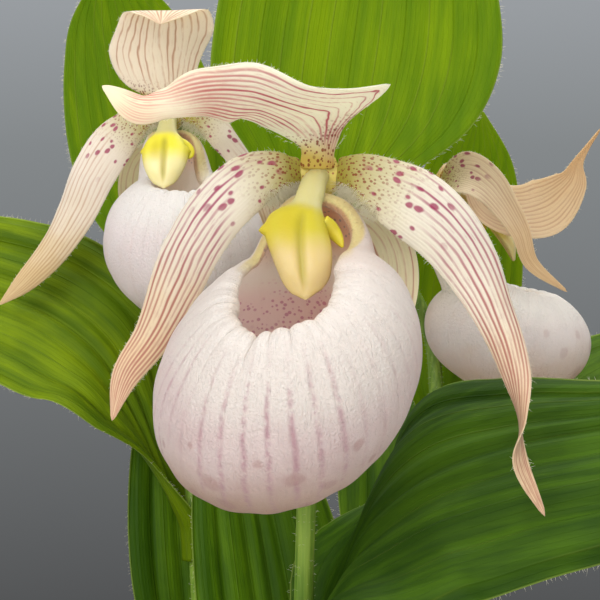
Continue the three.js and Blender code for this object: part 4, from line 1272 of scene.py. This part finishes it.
def lip_surface(lip, roll_rows=12):
    """The middle surface of the pouch, from its inrolled margin down to the far end."""
    columns, rows = lip["grid"]
    centre, top = np.array(lip["centre"], float), np.array(lip["top"], float)
    mouth = unit(np.array(lip["mouth"], float))
    neck_line = top - centre
    neck = unit(neck_line)
    back = unit(neck - neck.dot(mouth) * mouth)
    right = np.cross(back, mouth)
    tall = unit(np.array(lip["tall"], float))
    deep = unit(back - back.dot(tall) * tall)
    wide = np.cross(deep, tall)
    around = 2 * math.pi * np.arange(columns) / columns
    around, t = np.meshgrid(around, np.linspace(0, 1, rows + 1), indexing="ij")
    from_back = np.abs(np.arctan2(np.sin(around), np.cos(around)))
    crease = lip_creases(lip, around)
    side_on = smooth(0.3, 0.5, from_back) * smooth(2.0, 1.2, from_back) * (np.sin(around) < 0)
    rim = np.radians(rim_angles(lip["rim"], around) + 2.1 * crease)
    down = rim + (math.pi - rim) * t ** 1.15
    level = np.cos(around)[..., None] * back + np.sin(around)[..., None] * right
    d = np.cos(down)[..., None] * mouth + np.sin(down)[..., None] * level
    taper = 1 + LIP_TAPER * (d @ tall)
    r = 1 / np.sqrt(
        (d @ tall / lip["radii"][0]) ** 2
        + (d @ deep / lip["radii"][1] / taper) ** 2
        + (d @ wide / lip["radii"][2] / taper) ** 2
    )
    off = np.arccos(np.clip(d @ neck, -1, 1))
    bump = smooth(math.radians(LIP_NECK[0]), math.radians(LIP_NECK[1]), off)
    r = mix(np.linalg.norm(neck_line), r, bump)
    past = np.degrees(down - rim)
    r = r - crease * (0.85 * np.exp(-(past / 11) ** 2) + 0.28 * np.exp(-(past / 36) ** 2))
    ripple = np.sin(11 * around + 1.7) * np.sin(7 * around + past / 9) + np.sin(17 * around - past / 14)
    r = r + 0.09 * ripple * smooth(150, 90, past)
    r = r - LIP_ROLL * np.clip(1 - past / 9, 0, 1) ** 2
    body = centre + d * (r - LIP_WALL / 2)[..., None]
    # The margin turns over into the mouth in an arc.
    edge, below = body[:, 0], body[:, 1]
    ahead = unit(edge - below)
    inward = -unit(np.cross(np.roll(edge, -1, 0) - np.roll(edge, 1, 0), below - edge))
    keyhole = 1 - smooth(0.25, 0.8, from_back[:, 0])
    front, narrow, flank = LIP_ROLL_RADII
    radius = mix(mix(front, narrow, keyhole), flank, side_on[:, 0])[:, None]
    sweep = np.radians(np.linspace(LIP_ROLL_SWEEP, LIP_ROLL_SWEEP / (roll_rows + 1) * 0.5, roll_rows))
    roll = np.stack([
        edge + ahead * radius * math.sin(s) + inward * radius * (1 - math.cos(s)) for s in sweep
    ], 1)
    middle = np.concatenate([roll, body], 1)
    past = np.concatenate([np.repeat(-np.degrees(sweep)[None] / 12, columns, 0), past], 1)
    turn = np.repeat(around[:, :1], middle.shape[1], 1)
    backness = np.repeat((1 - smooth(0.55, 1.1, from_back[:, :1])), middle.shape[1], 1)
    return middle, past, turn, backness


def lip_mesh(name, lip, place, lift, scale):
    middle, past, turn, backness = lip_surface(lip)
    middle = place(middle)
    around = np.stack([np.cos(turn), np.sin(turn), past], -1)
    # Each point's height in the bloom: the pouch's painted shade lies below a given height.
    level = (middle[..., 2] - lift) / scale
    hang = np.stack([level, level, level], -1)
    throat = smooth(-20, -12, level)
    mark = np.zeros_like(past)
    degree = math.radians(1) * lip["radii"][1]
    for at, down, size in lip["blotches"]:
        aside = (np.degrees(turn) - at) * degree * 0.9
        away = np.hypot(aside * (1 + 0.2 * math.sin(at)), (past - down) * degree * 0.8)
        mark = np.maximum(mark, np.clip(1.3 - away / size, 0, 1))
    out = np.stack([mark, np.ones_like(past), backness], -1)
    inside = np.stack([throat, -np.ones_like(past), backness], -1)
    half = np.full(past.shape, LIP_WALL / 2)
    half = half * np.clip(0.45 + 0.55 * np.linspace(0, 12, past.shape[1]), 0, 1)[None]
    layers = {"around": (around, around), "inside": (out, inside), "hang": (hang, hang)}
    return sheet_mesh(name, middle, half, layers, True)


def petal_piece(key, part, place, materials):
    """One petal or sepal. The front bloom's dorsal sepal has a drawn-out corner and a slim foot."""
    name = f"{key}_{part}"
    spec = dict(PETALS[name], frill=(0.14, 6), shoulder=(0, 0.05, 1.8))
    if name == "a_dorsal_sepal":
        spec.update(
            point=(0.255, 0.027, 5.8),
            spine=[(-0.3, 1.4, 1.6)] + spec["spine"][1:],
            left=[1.7, 5.2] + spec["left"][2:],
            right=[1.7, 5.2] + spec["right"][2:],
        )
    mesh = blade_mesh(f"{name}_fine", spec, PETAL_GRIDS[key], PETAL_THICKNESS, place)
    slot = "petal" if part.endswith("petal") else "sepal"
    add_piece(f"{name}_fine", mesh, materials[name], slot, name)


def build_blooms(materials, hair):
    for key, bloom in BLOOMS.items():
        origin = np.array(bloom["origin"], float)

        def place(points, origin=origin, scale=bloom["scale"]):
            return origin + points * scale

        for part in ("left_petal", "right_petal", "dorsal_sepal", "synsepal"):
            petal_piece(key, part, place, materials)
        mesh = lip_mesh(f"{key}_lip_fine", LIPS[key], place, origin[2], bloom["scale"])
        add_piece(f"{key}_lip_fine", mesh, materials[f"{key}_lip"], "lip", f"{key}_lip")
        add_piece(f"{key}_column_fine", column_mesh(key, place), materials[f"{key}_column"], "column",
                  f"{key}_column")
        build_petal_hairs(key, place, hair)


def build_petal_hairs(key, place, hair):
    """A tuft at the foot of each petal, on the side by the column, and short hairs on the margins."""
    rng = np.random.default_rng(300 + ord(key))
    roots, ways, lengths = [], [], []
    for part, facing in (("left_petal", -1), ("right_petal", 1)):
        spec = PETALS[f"{key}_{part}"]
        count = TUFT_HAIRS[key]
        u = 0.02 + 0.2 * rng.random(count) ** 1.2
        e = 0.004
        ends, _ = surface(spec, np.full(2, 0.1), np.array([-1.0, 1.0]))
        lower = 1 if ends[1, 2] < ends[0, 2] else -1
        v = lower * (0.98 - 0.5 * rng.random(count) ** 2)
        p, _ = surface(spec, u, v)
        along = surface(spec, u + e, v)[0] - surface(spec, u - e, v)[0]
        across = surface(spec, u, v + e)[0] - surface(spec, u, v - e)[0]
        normal = unit(np.cross(along, across)) * facing
        roots.append(place(p))
        ways.append(normal * 0.5 + unit(across) * lower * 0.8 - unit(along) * 0.3
                    + rng.normal(0, 0.35, (count, 3)))
        lengths.append(rng.uniform(*TUFT_LENGTHS, count) * (1.1 - 2.4 * u))
    for part in ("left_petal", "right_petal", "dorsal_sepal"):
        spec = PETALS[f"{key}_{part}"]
        grid = (100, 16)
        point, *_ = blade_grid(spec, *grid)
        for side in (-1, 1):
            count = EDGE_HAIRS[key]
            rows = rng.uniform(4, 92, count)
            root, out = margin_roots(place(point), side, rows)
            roots.append(root)
            ways.append(out + rng.normal(0, 0.5, (count, 3)))
            lengths.append(rng.uniform(*EDGE_LENGTHS, count))
    fuzz = hair_mesh(
        f"{key}_bloom_hairs", np.vstack(roots), np.vstack(ways), np.concatenate(lengths),
        BLOOM_HAIR_WIDTH, 0.25, 400 + ord(key),
    )
    add_piece(f"{key}_bloom_hairs", fuzz, hair, "petal")


# Camera, floor and light

def build_camera():
    data = bpy.data.cameras.new("camera")
    data.lens = CAMERA_LENS
    data.sensor_width = SENSOR
    camera = bpy.data.objects.new("camera", data)
    camera.location = CAMERA_PLACE
    camera.rotation_euler = (math.radians(90 - CAMERA_PITCH), 0, 0)
    bpy.context.scene.collection.objects.link(camera)
    bpy.context.scene.camera = camera


def build_floor():
    sides = 96
    a = 2 * math.pi * np.arange(sides) / sides
    radius = FLOOR_RADIUS / MM
    points = np.stack([radius * np.cos(a), radius * np.sin(a), np.zeros(sides)], -1)
    mesh = make_mesh("floor", points, [list(range(sides))])
    floor = bpy.data.objects.new("floor", mesh)
    bpy.context.scene.collection.objects.link(floor)
    mesh.materials.append(plain_material("floor_paint", rgb(205, 205, 203), 0.8))


def build_lights():
    for name, (place, size, power) in LAMPS.items():
        data = bpy.data.lights.new(name, "AREA")
        data.shape = "DISK"
        data.size = size
        data.energy = power
        light = bpy.data.objects.new(name, data)
        light.location = place
        way = np.array(LAMP_TARGET, float) - np.array(place, float)
        tilt = math.atan2(math.hypot(way[0], way[1]), -way[2])
        light.rotation_euler = (tilt, 0, math.atan2(way[0], -way[1]) + math.pi)
        bpy.context.scene.collection.objects.link(light)
    bpy.context.scene.view_settings.view_transform = "Standard"


def build_world():
    world = bpy.data.worlds.new("studio")
    bpy.context.scene.world = world
    world.use_nodes = True
    tree = world.node_tree
    tree.nodes.clear()
    place = tree.nodes.new("ShaderNodeTexCoord")
    height = Wire(tree, place.outputs["Generated"]).parts()[2]
    ramp = tree.nodes.new("ShaderNodeValToRGB")
    feed(tree, ramp.inputs[0], height * 0.5 + 0.5)
    stops = ramp.color_ramp.elements
    for i, (position, colour) in enumerate(SKY):
        stop = stops[i] if i < 2 else stops.new(position)
        stop.position = position
        stop.color = rgb(*colour)
    shine = tree.nodes.new("ShaderNodeBackground")
    out = tree.nodes.new("ShaderNodeOutputWorld")
    tree.links.new(ramp.outputs[0], shine.inputs[0])
    tree.links.new(shine.outputs[0], out.inputs[0])


# Looks, with every colour given as a screen shows it

# Dark, light and see-through colours, the share of light let through, the veins and their strength.
LEAF_LOOKS = {
    "green": [(48, 80, 0), (86, 120, 0), (120, 160, 0), 0.2, 9, 0.04],
    "deep": [(36, 66, 0), (70, 104, 6), (104, 146, 0), 0.2, 9, 0.1],
    "fresh": [(72, 100, 0), (124, 146, 0), (150, 176, 0), 0.22, 9, 0.12],
    # The bracts' greens are painted brighter and yellower as painted backlight, besides the light they
    # really let through.
    "bright": [(86, 124, 0), (136, 164, 0), (192, 214, 0), 0.5, 12, 0.5],
}

# The shield's upper and lower colours.
COLUMN_LOOKS = {
    "a": [(194, 180, 46), (204, 180, 120)],
    "b": [(232, 220, 60), (236, 222, 160)],
    "c": [(226, 212, 70), (230, 214, 150)],
}

# Veins, skin, the darker colour painted on the underside as shade and the height at which that starts,
# then the strength of veins and blotches.
LIP_LOOKS = {
    "a": [(172, 122, 144), (238, 234, 228), (182, 152, 124), -44, 0.9, 1],
    "b": [(206, 172, 160), (250, 250, 248), (228, 212, 192), -52, 0.15, 0.3],
    "c": [(206, 172, 150), (255, 255, 248), (226, 196, 156), -46, 0.1, 0.5],
}

PETAL = dict(
    base=(246, 238, 220), foot=(184, 172, 70), far=(240, 216, 174),
    line=(172, 66, 104), far_line=(182, 108, 92), count=10, width=0.4, foot_to=0.36,
)
SEPAL = dict(
    base=(255, 252, 234), foot=(228, 206, 106), far=(255, 244, 214),
    line=(196, 66, 100), far_line=(216, 122, 108), count=14, width=0.42,
    spots=False, lines_from=0.06, far_from=0.5, line_strength=0.9, glow=0.5, foot_to=0.16,
)
UNDER = dict(
    base=(250, 242, 208), foot=(216, 212, 140), far=(250, 236, 200),
    line=(206, 146, 126), far_line=(200, 140, 112), count=13, width=0.32,
    spots=False, lines_from=0.05,
)
CREAM = dict(
    base=(246, 234, 218), far=(224, 198, 146), line=(200, 150, 120),
    far_line=(190, 140, 96), line_strength=0.6,
)
PALE = dict(CREAM, base=(255, 244, 228), far=(255, 240, 214), glow=0.5, line_strength=0.75)
PEACH = dict(
    base=(250, 230, 196), far=(240, 210, 160), line=(200, 146, 116),
    far_line=(194, 140, 96), line_strength=0.45,
)
FAINT = dict(line_strength=0.5)

# A bloom's own changes to the petals, the dorsal sepal and the synsepal.
BLOOM_LOOKS = {
    "a": ({}, dict(thin_out=0.9), {}),
    "b": (CREAM, PALE, FAINT),
    "c": (PEACH, PEACH, FAINT),
}


def as_shown(value):
    """A colour made ready for a shader. Anything else stays as it is."""
    return rgb(*value) if isinstance(value, tuple) else value


def make_materials():
    made = {}
    for key, look in LEAF_LOOKS.items():
        made[key] = leaf_material(f"leaf_{key}", *map(as_shown, look))
    for key, (petal, dorsal, under) in BLOOM_LOOKS.items():
        made[f"{key}_column"] = column_material(f"{key}_column_paint", *map(as_shown, COLUMN_LOOKS[key]))
        made[f"{key}_lip"] = lip_material(f"{key}_lip_paint", *map(as_shown, LIP_LOOKS[key]))
        looks = {
            "left_petal": dict(PETAL, **petal),
            "right_petal": dict(PETAL, **petal),
            "dorsal_sepal": dict(SEPAL, **dorsal),
            "synsepal": dict(UNDER, **under),
        }
        for part, look in looks.items():
            colours = {name: as_shown(value) for name, value in look.items()}
            made[f"{key}_{part}"] = petal_material(f"{key}_{part}_paint", **colours)
    return made


build_camera()
build_floor()
build_world()
build_lights()
build_pot()
build_soil()
hair = hair_material("hair")
materials = make_materials()
build_stems(stem_material("stem_green"), hair)
build_leaves(materials, hair)
build_blooms(materials, hair)
